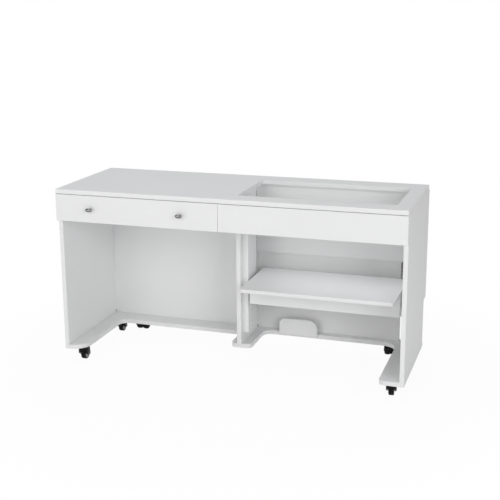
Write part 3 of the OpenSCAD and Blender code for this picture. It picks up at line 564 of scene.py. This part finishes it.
def moulded(name, bump, tone, mirror=0.5, **settings):
    """A plastic, rubber or paint that several pieces share."""
    return bpy.data.materials.get(name) or surface(
        name, shared("Moulded Plastic", moulded_group), bump, mirror=mirror, Plastic=fitting_colour(tone),
        **settings)


def gloss():
    return bpy.context.scene.castor_sizes.gloss


def zinc():
    return metal("zinc_steel", 0.02 * MM, "zinc",
                 metallic=0.8, Roughness=0.46, Streaks=(900, 60, 60), Mottle=0.10)


# Painted shade: the knobs' metal is darkened to stand for the dark surroundings that it mirrors
def shade_darkened_nickel():
    return metal("bright_nickel", 0.004 * MM, "shade_darkened_nickel",
                 metallic=1.0, Roughness=0.12, Streaks=(200, 200, 200), Mottle=0.02)


def spring_wire():
    return metal("spring_wire", 0.01 * MM, "spring",
                 metallic=1.0, Roughness=0.30, Streaks=(500, 500, 90), Mottle=0.15)


def black_plastic():
    return moulded("castor_plastic", 0.03 * MM, "plastic",
                   mirror=gloss(), Roughness=0.27, Grain=2600.0, Dust=0.02)


def tread():
    return moulded("castor_tread", 0.05 * MM, "tread",
                   mirror=gloss(), Roughness=0.44, Grain=1800.0, Dust=0.05)


# Partly a grey core and partly a painted highlight, the bright crescent on each wheel's side
def wheel_core_and_glint():
    return moulded("castor_core", 0.03 * MM, "core",
                   Roughness=0.38, Grain=2200.0, Dust=0.05)


# Painted shade: dark caps standing for the shaded gaps in the bays' rear corners
def cap_plastic():
    return moulded("cap_plastic", 0.02 * MM, "cap",
                   Roughness=0.4, Grain=2000.0, Dust=0.05)


def dark_paint():
    return moulded("black_steel", 0.02 * MM, "painted",
                   mirror=gloss(), Roughness=0.36, Grain=1500.0, Dust=0.03)


def pale_paint():
    return moulded("white_steel", 0.02 * MM, "bracket",
                   Roughness=0.36, Grain=1500.0, Dust=0.03)


def beech():
    return bpy.data.materials.get("turned_beech") or surface(
        "turned_beech", shared("Beech", beech_group), 0.04 * MM, Wood=fitting_colour("beech"))


# The fittings' finishes, by node where the photographed piece is painted, and else by slot
PAINTS = {"castor_plates": dark_paint, "lift_rests": pale_paint}
FINISHES = {"zinc_steel": zinc, "bright_metal": shade_darkened_nickel, "spring_steel": spring_wire,
            "black_plastic": black_plastic, "black_tread": tread, "beech": beech}


# Operators

class CABINET_OT_stage(bpy.types.Operator):
    """Set up the floor, the lights and the camera"""
    bl_idname = "cabinet.stage"
    bl_label = "Stage"

    # The camera, fitted to the cabinet's edges in a square picture
    eye = Vector((1.2565, -3.7519, 1.5425))
    turn = math.radians(18.337)
    dip = math.radians(13.892)
    roll = math.radians(-0.389)
    # Focal length and optical middle as shares of the picture's width
    focal_share = 978.4 / 500
    middle_share = (246.45 / 500, 233.4 / 500)

    # Place, width and height, and tint of each light, whose power has the same name in the stage look
    lamps = {
        "key": ((-0.9, -4.6, 2.6), (3.4, 2.4), (1.0, 0.995, 0.985)),
        "low": ((-2.0, -3.4, 0.6), (2.6, 0.9), (1.0, 0.995, 0.985)),
        "side": ((3.6, -3.8, 1.8), (2.4, 2.4), (1.0, 1.0, 1.0)),
        "top": ((-0.6, 0.4, 4.2), (3.5, 3.5), (0.97, 0.985, 1.0)),
    }

    floor_reach = 30
    floor_rough = 0.8
    # The floor whitens between these distances from the cabinet's middle, from this share of white
    near, far, near_white = 0.8, 1.6, 0.95
    # Share of white that the floor has in mirroring surfaces
    mirrored_white = 0.4

    def execute(self, context):
        look = context.scene.stage_look
        self.camera(context)
        self.floor(look)
        self.world(context, look)
        aim = (CAD_BOX[0] + CAD_BOX[1]) / 2
        for name, (place, size, tint) in self.lamps.items():
            self.lamp(name + "_light", Vector(place), aim, size, getattr(look, name), tint)
        context.scene.view_settings.view_transform = "Standard"
        return {"FINISHED"}

    def camera(self, context):
        level = Vector((math.cos(self.turn), math.sin(self.turn), 0))
        ahead = math.cos(self.dip) * UP.cross(level) - math.sin(self.dip) * UP
        above = level.cross(ahead)
        right = math.cos(self.roll) * level + math.sin(self.roll) * above
        over = math.cos(self.roll) * above - math.sin(self.roll) * level
        data = bpy.data.cameras.new("photo_camera")
        data.sensor_width = 36
        data.lens = data.sensor_width * self.focal_share
        data.shift_x = 0.5 - self.middle_share[0]
        data.shift_y = self.middle_share[1] - 0.5
        camera = in_scene("photo_camera", data)
        facing = Matrix((right, over, -ahead)).transposed().to_4x4()
        camera.matrix_world = Matrix.Translation(self.eye) @ facing
        context.scene.camera = camera

    def floor(self, look):
        mesh = bmesh.new()
        bmesh.ops.create_grid(mesh, x_segments=2, y_segments=2, size=self.floor_reach)
        material = bpy.data.materials.new("pale_floor")
        material.use_nodes = True
        tree = material.node_tree
        shader = tree.nodes["Principled BSDF"]
        shader.inputs["Base Color"].default_value = rgba(look.floor)
        shader.inputs["Roughness"].default_value = self.floor_rough
        glow = add(tree, "ShaderNodeEmission", {"Color": (1, 1, 1, 1), "Strength": 1.0})
        rays = tree.nodes.new("ShaderNodeLightPath")
        # Pure white away from the cabinet, and a faint shadow close to it
        place = tree.nodes.new("ShaderNodeTexCoord").outputs["Object"]
        away = add(tree, "ShaderNodeVectorMath", {0: place}, operation="LENGTH").outputs["Value"]
        white = shift(tree, away, self.near, self.far, self.near_white, 1.0, smooth=True)
        seen = times(tree, rays.outputs["Is Camera Ray"], white)
        mirrored = times(tree, rays.outputs["Is Glossy Ray"], self.mirrored_white)
        share = maths(tree, "MAXIMUM", seen, mirrored)
        blend = add(tree, "ShaderNodeMixShader", {0: share, 1: shader, 2: glow})
        tree.links.new(blend.outputs[0], tree.nodes["Material Output"].inputs["Surface"])
        floor = build("studio_floor", mesh, material)

    def world(self, context, look):
        world = bpy.data.worlds.new("studio")
        world.use_nodes = True
        tree = world.node_tree
        background = tree.nodes["Background"]
        rays = tree.nodes.new("ShaderNodeLightPath")
        seen = maths(tree, "MAXIMUM", rays.outputs["Is Camera Ray"], rays.outputs["Is Transmission Ray"])
        strength = add(tree, "ShaderNodeMix", {0: seen, 2: look.world, 3: 1.0})
        tree.links.new(strength.outputs[0], background.inputs["Strength"])
        background.inputs["Color"].default_value = (1, 1, 1, 1)
        context.scene.world = world

    def lamp(self, name, place, aim, size, power, tint):
        data = bpy.data.lights.new(name, "AREA")
        data.shape = "RECTANGLE"
        data.size, data.size_y = size
        data.energy = power
        data.color = tint
        lamp = in_scene(name, data)
        lamp.location = place
        lamp.rotation_euler = (aim - place).to_track_quat("-Z", "Y").to_euler()


class CABINET_OT_boards(bpy.types.Operator):
    """Finish every laminated board with melamine faces and banded edges"""
    bl_idname = "cabinet.boards"
    bl_label = "Boards"

    def execute(self, context):
        for node in BOARDS:
            cover(frame["nodes"][node], laminate(node))
        return {"FINISHED"}


class CABINET_OT_fittings(bpy.types.Operator):
    """Finish the steel, plastic and wooden fittings that keep their own shape"""
    bl_idname = "cabinet.fittings"
    bl_label = "Fittings"

    def execute(self, context):
        for node, piece in frame["nodes"].items():
            if node not in BOARDS:
                finish = PAINTS.get(node) or FINISHES[SLOTS[node]]
                cover(piece, finish())
        return {"FINISHED"}


class CABINET_OT_knobs(bpy.types.Operator):
    """Turn the two oval drawer knobs"""
    bl_idname = "cabinet.knobs"
    bl_label = "Knobs"

    # Rings from the drawer front outwards: share of the reach, shares of the head's width and height,
    # and how much of the head's fullness the outline has
    rings = (
        (0.00, 0.46, 0.70, 0.0), (0.06, 0.46, 0.70, 0.0), (0.12, 0.40, 0.60, 0.0), (0.18, 0.31, 0.46, 0.0),
        (0.34, 0.30, 0.45, 0.0), (0.50, 0.33, 0.50, 0.0), (0.60, 0.52, 0.62, 0.5), (0.67, 0.86, 0.84, 1.0),
        (0.71, 0.97, 0.96, 1.0), (0.76, 1.00, 1.00, 1.0), (0.84, 0.98, 0.98, 1.0), (0.91, 0.86, 0.86, 1.0),
        (0.96, 0.64, 0.62, 1.0), (0.99, 0.34, 0.32, 1.0),
    )
    # How much fuller than an oval the head's outline is
    fullness = 0.35
    steps = 32

    def execute(self, context):
        for node in ("left_knob", "right_knob"):
            piece = build(node + "_turned", self.shape(node), shade_darkened_nickel(), smooth_below=70)
            smooth = piece.modifiers.new("smooth", "SUBSURF")
            smooth.levels = smooth.render_levels = 1
            stand_for(piece, node)
        return {"FINISHED"}

    def shape(self, node):
        low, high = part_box(node)
        centre = middle(node)
        wide, reach, tall = high - low
        mesh = bmesh.new()
        loops = []
        for share, across, up, oval in self.rings:
            loop = []
            for step in range(self.steps):
                turn = 2 * math.pi * step / self.steps
                # A full oval on the head, and a plain one on the neck
                side = math.cos(turn)
                power = 1 - self.fullness * oval
                x = math.copysign(abs(side) ** power, side) * across * wide / 2
                z = math.sin(turn) * up * tall / 2
                loop.append(mesh.verts.new((centre.x + x, high.y - share * reach, centre.z + z)))
            loops.append(loop)
        mesh.faces.new(loops[0])
        tip = mesh.verts.new((centre.x, low.y, centre.z))
        skin(mesh, loops + [[tip]])
        return mesh


class CABINET_OT_castors(bpy.types.Operator):
    """Mould the castors' housings and turn their wheels and axle caps"""
    bl_idname = "cabinet.castors"
    bl_label = "Castors"

    # Edges of a housing that are sharper than this are rounded
    sharp_angle = math.radians(28)
    # Half sections, as shares of a width and of a radius. A wheel's hub: the width is half the wheel's
    hub_profile = ((1, 0), (1, 0.3096), (0.98, 0.3384))
    # The wheel's dish, rim and tread: the width is half the rim's
    rim_profile = (
        (0.76, 0.36), (0.76, 0.56), (0.904, 0.60), (0.928, 0.78), (0.99, 0.80), (1, 0.82), (0.99, 0.89),
        (0.92, 0.955), (0.74, 0.992), (0.40, 1),
    )
    # An axle cap from its foot to its dome: the width is its rise
    cap_profile = ((0, 0), (0, 1), (0.5, 1), (1.2, 0.82), (1.7, 0.5), (1.9, 0))
    # A twin wheel from its inner side outwards
    twin_profile = (
        (0, 0), (0, 0.90), (0.07, 0.97), (0.18, 1), (0.72, 1), (0.86, 0.965), (0.96, 0.88), (1, 0.78),
        (1, 0.70), (0.91, 0.66), (0.90, 0.34), (0.98, 0.30), (0.99, 0.10), (0.96, 0),
    )
    # Flats round a wheel, a twin wheel and a cap
    wheel_steps, twin_steps, cap_steps = 64, 56, 24
    # Shares of a wheel's radius where its tread begins, and beyond which it is as wide as its rim
    core, rim_from = 0.795, 0.8
    # Rise of an axle cap as a share of its radius, and by how many rises its foot is sunk in the housing
    cap_rise, cap_sunk = 0.22, 1.5

    def execute(self, context):
        sizes = context.scene.castor_sizes
        for name in CASTORS:
            self.housing(name + "_housing", sizes)
            self.wheel(name, sizes)
            self.caps(name, sizes)
        for name in TWINS:
            self.housing(name + "_hood", sizes)
            self.twin_wheels(name)
        return {"FINISHED"}

    def housing(self, node, sizes):
        """The housing with every edge rounded, as it leaves the mould."""
        mesh = merged(node)
        sharp = [edge for edge in mesh.edges
                 if edge.is_manifold and edge.calc_face_angle(0) > self.sharp_angle]
        bmesh.ops.bevel(mesh, geom=sharp, offset=sizes.rounding, segments=2, affect="EDGES", profile=0.5,
                        clamp_overlap=True, offset_type="OFFSET")
        bmesh.ops.triangulate(mesh, faces=[face for face in mesh.faces if len(face.verts) > 4])
        stand_for(build(node + "_moulded", mesh, black_plastic(), smooth_below=40), node)

    def axle(self, name):
        """Middle of a wheel and the way its axle points."""
        joint = JOINTS[name + "_roll"]
        return Vector(joint["pos_m"]), Vector(joint["axis"]).normalized()

    def lie_on_axle(self, mesh, centre, along):
        turn = along.to_track_quat("X", "Z").to_matrix().to_4x4()
        mesh.transform(Matrix.Translation(centre) @ turn)

    def wheel(self, name, sizes):
        node = name + "_wheel"
        centre, along = self.axle(name)
        low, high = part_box(node)
        radius = (high.z - low.z) / 2
        # The box of a wheel that is turned about the vertical is wider than the wheel
        half = self.half_width(node, centre, along)
        rim = self.half_width(node, centre, along, self.rim_from * radius)
        side = sized(self.hub_profile, half, radius) + sized(self.rim_profile, rim, radius)
        side.append((sizes.groove * 2, radius))
        mesh = lathe(sized(side, -1, 1) + [(0, radius - sizes.groove)] + side[::-1], self.wheel_steps)
        # Faces within the core take the light grey that also paints in the highlight on the wheel's side
        for face in mesh.faces:
            spot = face.calc_center_median()
            face.material_index = 1 if math.hypot(spot.y, spot.z) < self.core * radius else 0
        self.lie_on_axle(mesh, centre, along)
        piece = build(node + "_turned", mesh, tread())
        piece.data.materials.append(wheel_core_and_glint())
        stand_for(piece, node)

    def half_width(self, node, centre, along, beyond=0.0):
        """How far a node reaches along an axle, measured where it is far enough from it."""
        reach = 0.0
        for vertex in frame["nodes"][node].data.vertices:
            place = vertex.co - centre
            part = place.dot(along)
            if (place - part * along).length >= beyond:
                reach = max(reach, part)
        return reach

    def caps(self, name, sizes):
        """A domed steel cap over each end of the axle, seated on the housing."""
        node = name + "_housing"
        centre, along = self.axle(name)
        half = self.half_width(node, centre, along)
        radius = sizes.cap / 2
        rise = self.cap_rise * radius
        whole = bmesh.new()
        for side in (-1, 1):
            cap = lathe(sized(self.cap_profile, rise, radius), self.cap_steps)
            cap.transform(Matrix.Translation((half - rise * self.cap_sunk, 0, 0)))
            if side < 0:
                cap.transform(Matrix.Rotation(math.pi, 4, "Z"))
            self.lie_on_axle(cap, centre, along)
            put_in(whole, cap)
        piece = build(name + "_axle_caps", whole, zinc())
        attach(piece, name + "_castor")

    def twin_wheels(self, name):
        node = name + "_wheels"
        centre, along = self.axle(name)
        whole = bmesh.new()
        for low, high in solid_boxes(node):
            inner, outer = sorted((abs(low.x - centre.x), abs(high.x - centre.x)))
            wide, radius = outer - inner, (high.z - low.z) / 2
            wheel = lathe(sized(self.twin_profile, wide, radius, start=inner), self.twin_steps)
            if high.x < centre.x:
                wheel.transform(Matrix.Rotation(math.pi, 4, "Z"))
            self.lie_on_axle(wheel, centre, along)
            put_in(whole, wheel)
        stand_for(build(node + "_turned", whole, tread()), node)


# Geometry Nodes

def geometry_group(name, inputs):
    shape = {"Geometry": "Geometry"}
    return new_group("GeometryNodeTree", name, {**shape, **inputs}, shape)


def finished(tree, shape, given, out):
    """Ends a geometry tree: one real mesh in the given material."""
    whole = add(tree, "GeometryNodeRealizeInstances", {0: shape})
    dressed = add(tree, "GeometryNodeSetMaterial", {"Geometry": whole, "Material": given["Material"]})
    tree.links.new(dressed.outputs[0], out[0])
    return tree


def run_tree(name, seed_mesh, tree, values, smooth_below=35):
    """Runs a geometry tree on a mesh and keeps the result as a plain piece."""
    source = in_scene(name + "_source", seed_mesh)
    modifier = source.modifiers.new("shape", "NODES")
    modifier.node_group = tree
    names = {item.name: item.identifier for item in tree.interface.items_tree if item.in_out == "INPUT"}
    for label, value in values.items():
        modifier[names[label]] = value
    source.update_tag()
    bpy.context.view_layer.update()
    evaluated = source.evaluated_get(bpy.context.evaluated_depsgraph_get())
    mesh = bpy.data.meshes.new_from_object(evaluated)
    mesh.name = name
    source.modifiers.remove(modifier)
    bpy.data.objects.remove(source)
    if not mesh.polygons:
        raise RuntimeError(name + " came out empty")
    return as_piece(name, mesh, smooth_below)


def spring_tree():
    """An extension spring: a wire on a helix that leaves its axis at both ends."""
    tree, given, out = geometry_group("Extension Spring", {
        "Turns": "Int", "Steps": "Int", "Coil Radius": "Float", "Wire": "Float", "Stem": "Float",
        "Low End": "Vector", "Height": "Float", "Material": "Material"})
    steps = times(tree, given["Turns"], given["Steps"])
    half = times(tree, given["Steps"], 0.5)
    total = plus(tree, steps, given["Steps"])
    # Two points at each end belong to the straight stems
    count = plus(tree, total, 5.0)
    line = add(tree, "GeometryNodeCurvePrimitiveLine", {0: (0, 0, 0), 1: (0, 0, 1)})
    points = add(tree, "GeometryNodeResampleCurve", {"Curve": line, "Count": count})
    index = tree.nodes.new("GeometryNodeInputIndex").outputs[0]
    turn = minus(tree, index, 2.0)
    ramp_up = maths(tree, "DIVIDE", turn, half)
    ramp_down = maths(tree, "DIVIDE", minus(tree, total, turn), half)
    ramp = maths(tree, "MAXIMUM", maths(tree, "MINIMUM", ramp_up, ramp_down), 0.0, clamp=True)
    radius = times(tree, ramp, given["Coil Radius"])
    angle = times(tree, maths(tree, "DIVIDE", turn, given["Steps"]), 2 * math.pi)
    both_stems = times(tree, given["Stem"], 2.0)
    coiled = minus(tree, given["Height"], both_stems)
    share = maths(tree, "DIVIDE", turn, total, clamp=True)
    climb = plus(tree, given["Stem"], times(tree, share, coiled))
    half_stem = times(tree, given["Stem"], 0.5)
    below = times(tree, maths(tree, "MINIMUM", turn, 0.0), half_stem)
    past = maths(tree, "MAXIMUM", minus(tree, turn, total), 0.0)
    above = times(tree, past, half_stem)
    place = add(tree, "ShaderNodeCombineXYZ", {
        0: times(tree, radius, maths(tree, "COSINE", angle)),
        1: times(tree, radius, maths(tree, "SINE", angle)),
        2: plus(tree, climb, plus(tree, below, above))})
    place = vectors(tree, "ADD", place, given["Low End"])
    moved = add(tree, "GeometryNodeSetPosition", {"Geometry": points, "Position": place})
    ring = add(tree, "GeometryNodeCurvePrimitiveCircle", {
        "Resolution": 10, "Radius": times(tree, given["Wire"], 0.5)})
    tube = add(tree, "GeometryNodeCurveToMesh", {"Curve": moved, "Profile Curve": ring, "Fill Caps": True})
    return finished(tree, tube, given, out)


class CABINET_OT_springs(bpy.types.Operator):
    """Coil the two springs that carry the lift"""
    bl_idname = "cabinet.springs"
    bl_label = "Springs"

    # Keeps the coil just inside the room of the plain spring
    inside = 0.995

    def execute(self, context):
        sizes = context.scene.spring_sizes
        for node in ("left_lift_spring", "right_lift_spring"):
            low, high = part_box(node)
            centre = middle(node)
            tall = high.z - low.z
            empty = bpy.data.meshes.new(node)
            piece = run_tree(node + "_coiled", empty, shared("Extension Spring", spring_tree), {
                "Turns": sizes.turns, "Steps": sizes.steps,
                "Coil Radius": (high.x - low.x - sizes.wire) / 2 * self.inside,
                "Wire": sizes.wire, "Stem": sizes.stem,
                "Low End": (centre.x, centre.y, low.z), "Height": tall, "Material": spring_wire()},
                smooth_below=60)
            stand_for(piece, node)
            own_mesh(piece)
        return {"FINISHED"}


def screw_tree():
    """A cross-recessed screw head on each point of the mesh, facing along the point's own direction."""
    tree, given, out = geometry_group("Cross Screws", {
        "Head": "Float", "Rise": "Float", "Slot": "Float", "Seed": "Int", "Material": "Material"})
    radius = times(tree, given["Head"], 0.5)
    head = add(tree, "GeometryNodeMeshCone", {
        "Vertices": 20, "Side Segments": 1, "Radius Top": times(tree, radius, 0.62),
        "Radius Bottom": radius, "Depth": given["Rise"]})
    long = times(tree, given["Head"], 0.52)
    wide = given["Slot"]
    deep = times(tree, given["Rise"], 1.5)
    up = add(tree, "ShaderNodeCombineXYZ", {2: times(tree, given["Rise"], 1.1)})
    for x, y in ((long, wide), (wide, long)):
        size = add(tree, "ShaderNodeCombineXYZ", {0: x, 1: y, 2: deep})
        bar = add(tree, "GeometryNodeMeshCube", {"Size": size})
        bar = add(tree, "GeometryNodeTransform", {"Geometry": bar, "Translation": up})
        head = add(tree, "GeometryNodeMeshBoolean", {"Mesh 1": head, "Mesh 2": bar}, operation="DIFFERENCE")
    facing = add(tree, "GeometryNodeInputNamedAttribute", {"Name": "facing"}, data_type="FLOAT_VECTOR")
    turned = add(tree, "FunctionNodeAlignRotationToVector", {"Vector": facing}, axis="Z")
    spin = add(tree, "FunctionNodeRandomValue", {
        "Min": (0, 0, 0), "Max": (0, 0, math.pi), "Seed": given["Seed"]}, data_type="FLOAT_VECTOR")
    twist = add(tree, "FunctionNodeEulerToRotation", {0: spin})
    whole_turn = add(tree, "FunctionNodeRotateRotation", {"Rotation": turned, "Rotate By": twist},
                     rotation_space="LOCAL")
    points = add(tree, "GeometryNodeMeshToPoints", {"Mesh": given["Geometry"]})
    heads = add(tree, "GeometryNodeInstanceOnPoints", {
        "Points": points, "Instance": head, "Rotation": whole_turn})
    return finished(tree, heads, given, out)


class CABINET_OT_screws(bpy.types.Operator):
    """Drive the screws of the hinges, castor plates, tracks and brackets, and set dark caps as painted
    shade in the bays' rear corners
    """
    bl_idname = "cabinet.screws"
    bl_label = "Screws"

    # How far the screws stand in from the edge of a hinge and of a castor plate
    hinge_in = 6 * MM
    plate_in = 5 * MM
    # Thickness of the hinges, of the castor plates, and of the tracks and brackets
    hinge_t = 1.5 * MM
    plate_t = 2.5 * MM
    track_t = 2 * MM
    # Gate hinge solids narrower than this are the pins
    pin_w = 8 * MM
    # Places along a leaf hinge, up a gate hinge or bracket, and up a track above the lowered runner
    along_hinge = (0.15, 0.5, 0.85)
    up_hinge = (0.2, 0.5, 0.8)
    up_track = (0.34, 0.50, 0.66, 0.82, 0.97)

    # Board that each corner cap sits on, the panel behind it, how far it is ahead of that, and its height
    corners = (
        ("left_side_panel", "left_back_panel", 8 * MM, 91 * MM),
        ("divider", "right_back_panel", 12 * MM, 93 * MM),
    )
    # Half section of a corner cap as shares of its radius
    cap_profile = ((-0.2, 0), (-0.2, 1), (0.15, 1), (0.35, 0.8), (0.42, 0))
    cap_steps = 24

    def execute(self, context):
        sizes = context.scene.screw_sizes
        seats = {"cabinet": [], "leaf": []}
        self.leaf_hinges(seats)
        self.gate_hinges(seats["cabinet"])
        self.castor_plates(seats["cabinet"])
        self.lift_tracks(seats["cabinet"])
        self.lift_rests(seats["cabinet"])
        for body, places in seats.items():
            mesh = bpy.data.meshes.new("seats")
            mesh.from_pydata([place for place, facing in places], [], [])
            facing = mesh.attributes.new("facing", "FLOAT_VECTOR", "POINT")
            facing.data.foreach_set("vector", [value for place, way in places for value in way])
            piece = run_tree(body + "_screws", mesh, shared("Cross Screws", screw_tree), {
                "Head": sizes.head, "Rise": sizes.rise, "Slot": sizes.slot, "Seed": sizes.seed,
                "Material": zinc()})
            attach(piece, body)
        self.corner_caps(sizes)
        return {"FINISHED"}

    def corner_caps(self, sizes):
        """A dark domed cap low in the rear corner of each bay: painted shade for the gap in that corner."""
        radius = sizes.cap / 2
        whole = bmesh.new()
        for board, behind, ahead, height in self.corners:
            cap = lathe(sized(self.cap_profile, radius, radius), self.cap_steps)
            spot = (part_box(board)[1].x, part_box(behind)[0].y - ahead, height)
            cap.transform(Matrix.Translation(spot))
            put_in(whole, cap)
        piece = build("corner_caps", whole, cap_plastic())
        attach(piece, "cabinet")

    def leaf_hinges(self, seats):
        """Screws through each leaf of the hinges."""
        for low, high in solid_boxes("leaf_hinge_plates"):
            for x in self.spread(low.x, high.x, self.along_hinge):
                place = (x, low.y + self.hinge_in, high.z - self.hinge_t)
                seats["cabinet"].append((place, (0, 0, -1)))
        for low, high in solid_boxes("leaf_hinge_flaps"):
            for x in self.spread(low.x, high.x, self.along_hinge):
                place = (x, high.y - self.hinge_t, low.z + self.hinge_in)
                seats["leaf"].append((place, (0, -1, 0)))

    def gate_hinges(self, seats):
        """Screws through each plate on the back panels; the pins beside them have none."""
        for low, high in solid_boxes("gate_hinge_plates"):
            if high.x - low.x < self.pin_w:
                continue
            x = high.x - self.hinge_in if low.x < 0 else low.x + self.hinge_in
            for z in self.spread(low.z, high.z, self.up_hinge):
                seats.append(((x, low.y + self.hinge_t, z), (0, 1, 0)))

    def castor_plates(self, seats):
        """A screw in each corner of a castor's plate, clear of the housing."""
        for low, high in solid_boxes("castor_plates"):
            for x in (low.x + self.plate_in, high.x - self.plate_in):
                for y in (low.y + self.plate_in, high.y - self.plate_in):
                    seats.append(((x, y, high.z - self.plate_t), (0, 0, -1)))

    def lift_tracks(self, seats):
        """Screws through the web of each track."""
        for low, high in solid_boxes("lift_tracks"):
            for z in self.spread(low.z, high.z, self.up_track):
                seats.append((((low.x + high.x) / 2, low.y + self.track_t, z), (0, 1, 0)))

    def lift_rests(self, seats):
        """Screws through the slots of the brackets that carry the lowered carriage."""
        for low, high in solid_boxes("lift_rests"):
            left = low.x < middle("machine_platform").x
            x = low.x + self.track_t if left else high.x - self.track_t
            for z in self.spread(low.z, high.z, self.up_hinge):
                seats.append(((x, (low.y + high.y) / 2, z), (1 if left else -1, 0, 0)))

    def spread(self, low, high, shares):
        return [low + share * (high - low) for share in shares]


class CABINET_PT_panel(bpy.types.Panel):
    """Sidebar panel with the cabinet's sizes, colours and steps"""
    bl_idname = "CABINET_PT_panel"
    bl_label = "Sewing Cabinet"
    bl_space_type = "VIEW_3D"
    bl_region_type = "UI"
    bl_category = "Sewing Cabinet"

    def draw(self, context):
        layout = self.layout
        for name, group in GROUPS.items():
            box = layout.box()
            box.label(text=group.__doc__)
            for setting in group.__annotations__:
                box.prop(getattr(context.scene, name), setting)
        for step in STEPS:
            layout.operator(step.bl_idname)


GROUPS = {
    "board_finish": BoardFinish,
    "fitting_finish": FittingFinish,
    "spring_sizes": SpringSizes,
    "screw_sizes": ScrewSizes,
    "castor_sizes": CastorSizes,
    "stage_look": StageLook,
}
STEPS = (
    CABINET_OT_stage,
    CABINET_OT_boards,
    CABINET_OT_fittings,
    CABINET_OT_knobs,
    CABINET_OT_castors,
    CABINET_OT_springs,
    CABINET_OT_screws,
)


def register():
    for group in GROUPS.values():
        bpy.utils.register_class(group)
    for step in (*STEPS, CABINET_PT_panel):
        bpy.utils.register_class(step)
    for name, group in GROUPS.items():
        setattr(bpy.types.Scene, name, bpy.props.PointerProperty(type=group))


def unregister():
    for name in GROUPS:
        delattr(bpy.types.Scene, name)
    for step in (CABINET_PT_panel, *reversed(STEPS)):
        bpy.utils.unregister_class(step)
    for group in reversed(GROUPS.values()):
        bpy.utils.unregister_class(group)


def main():
    register()
    bpy.ops.cabinet.stage()
    bpy.ops.cabinet.boards()
    bpy.ops.cabinet.fittings()
    bpy.ops.cabinet.knobs()
    bpy.ops.cabinet.castors()
    bpy.ops.cabinet.springs()
    bpy.ops.cabinet.screws()


if __name__ == "__main__":
    main()
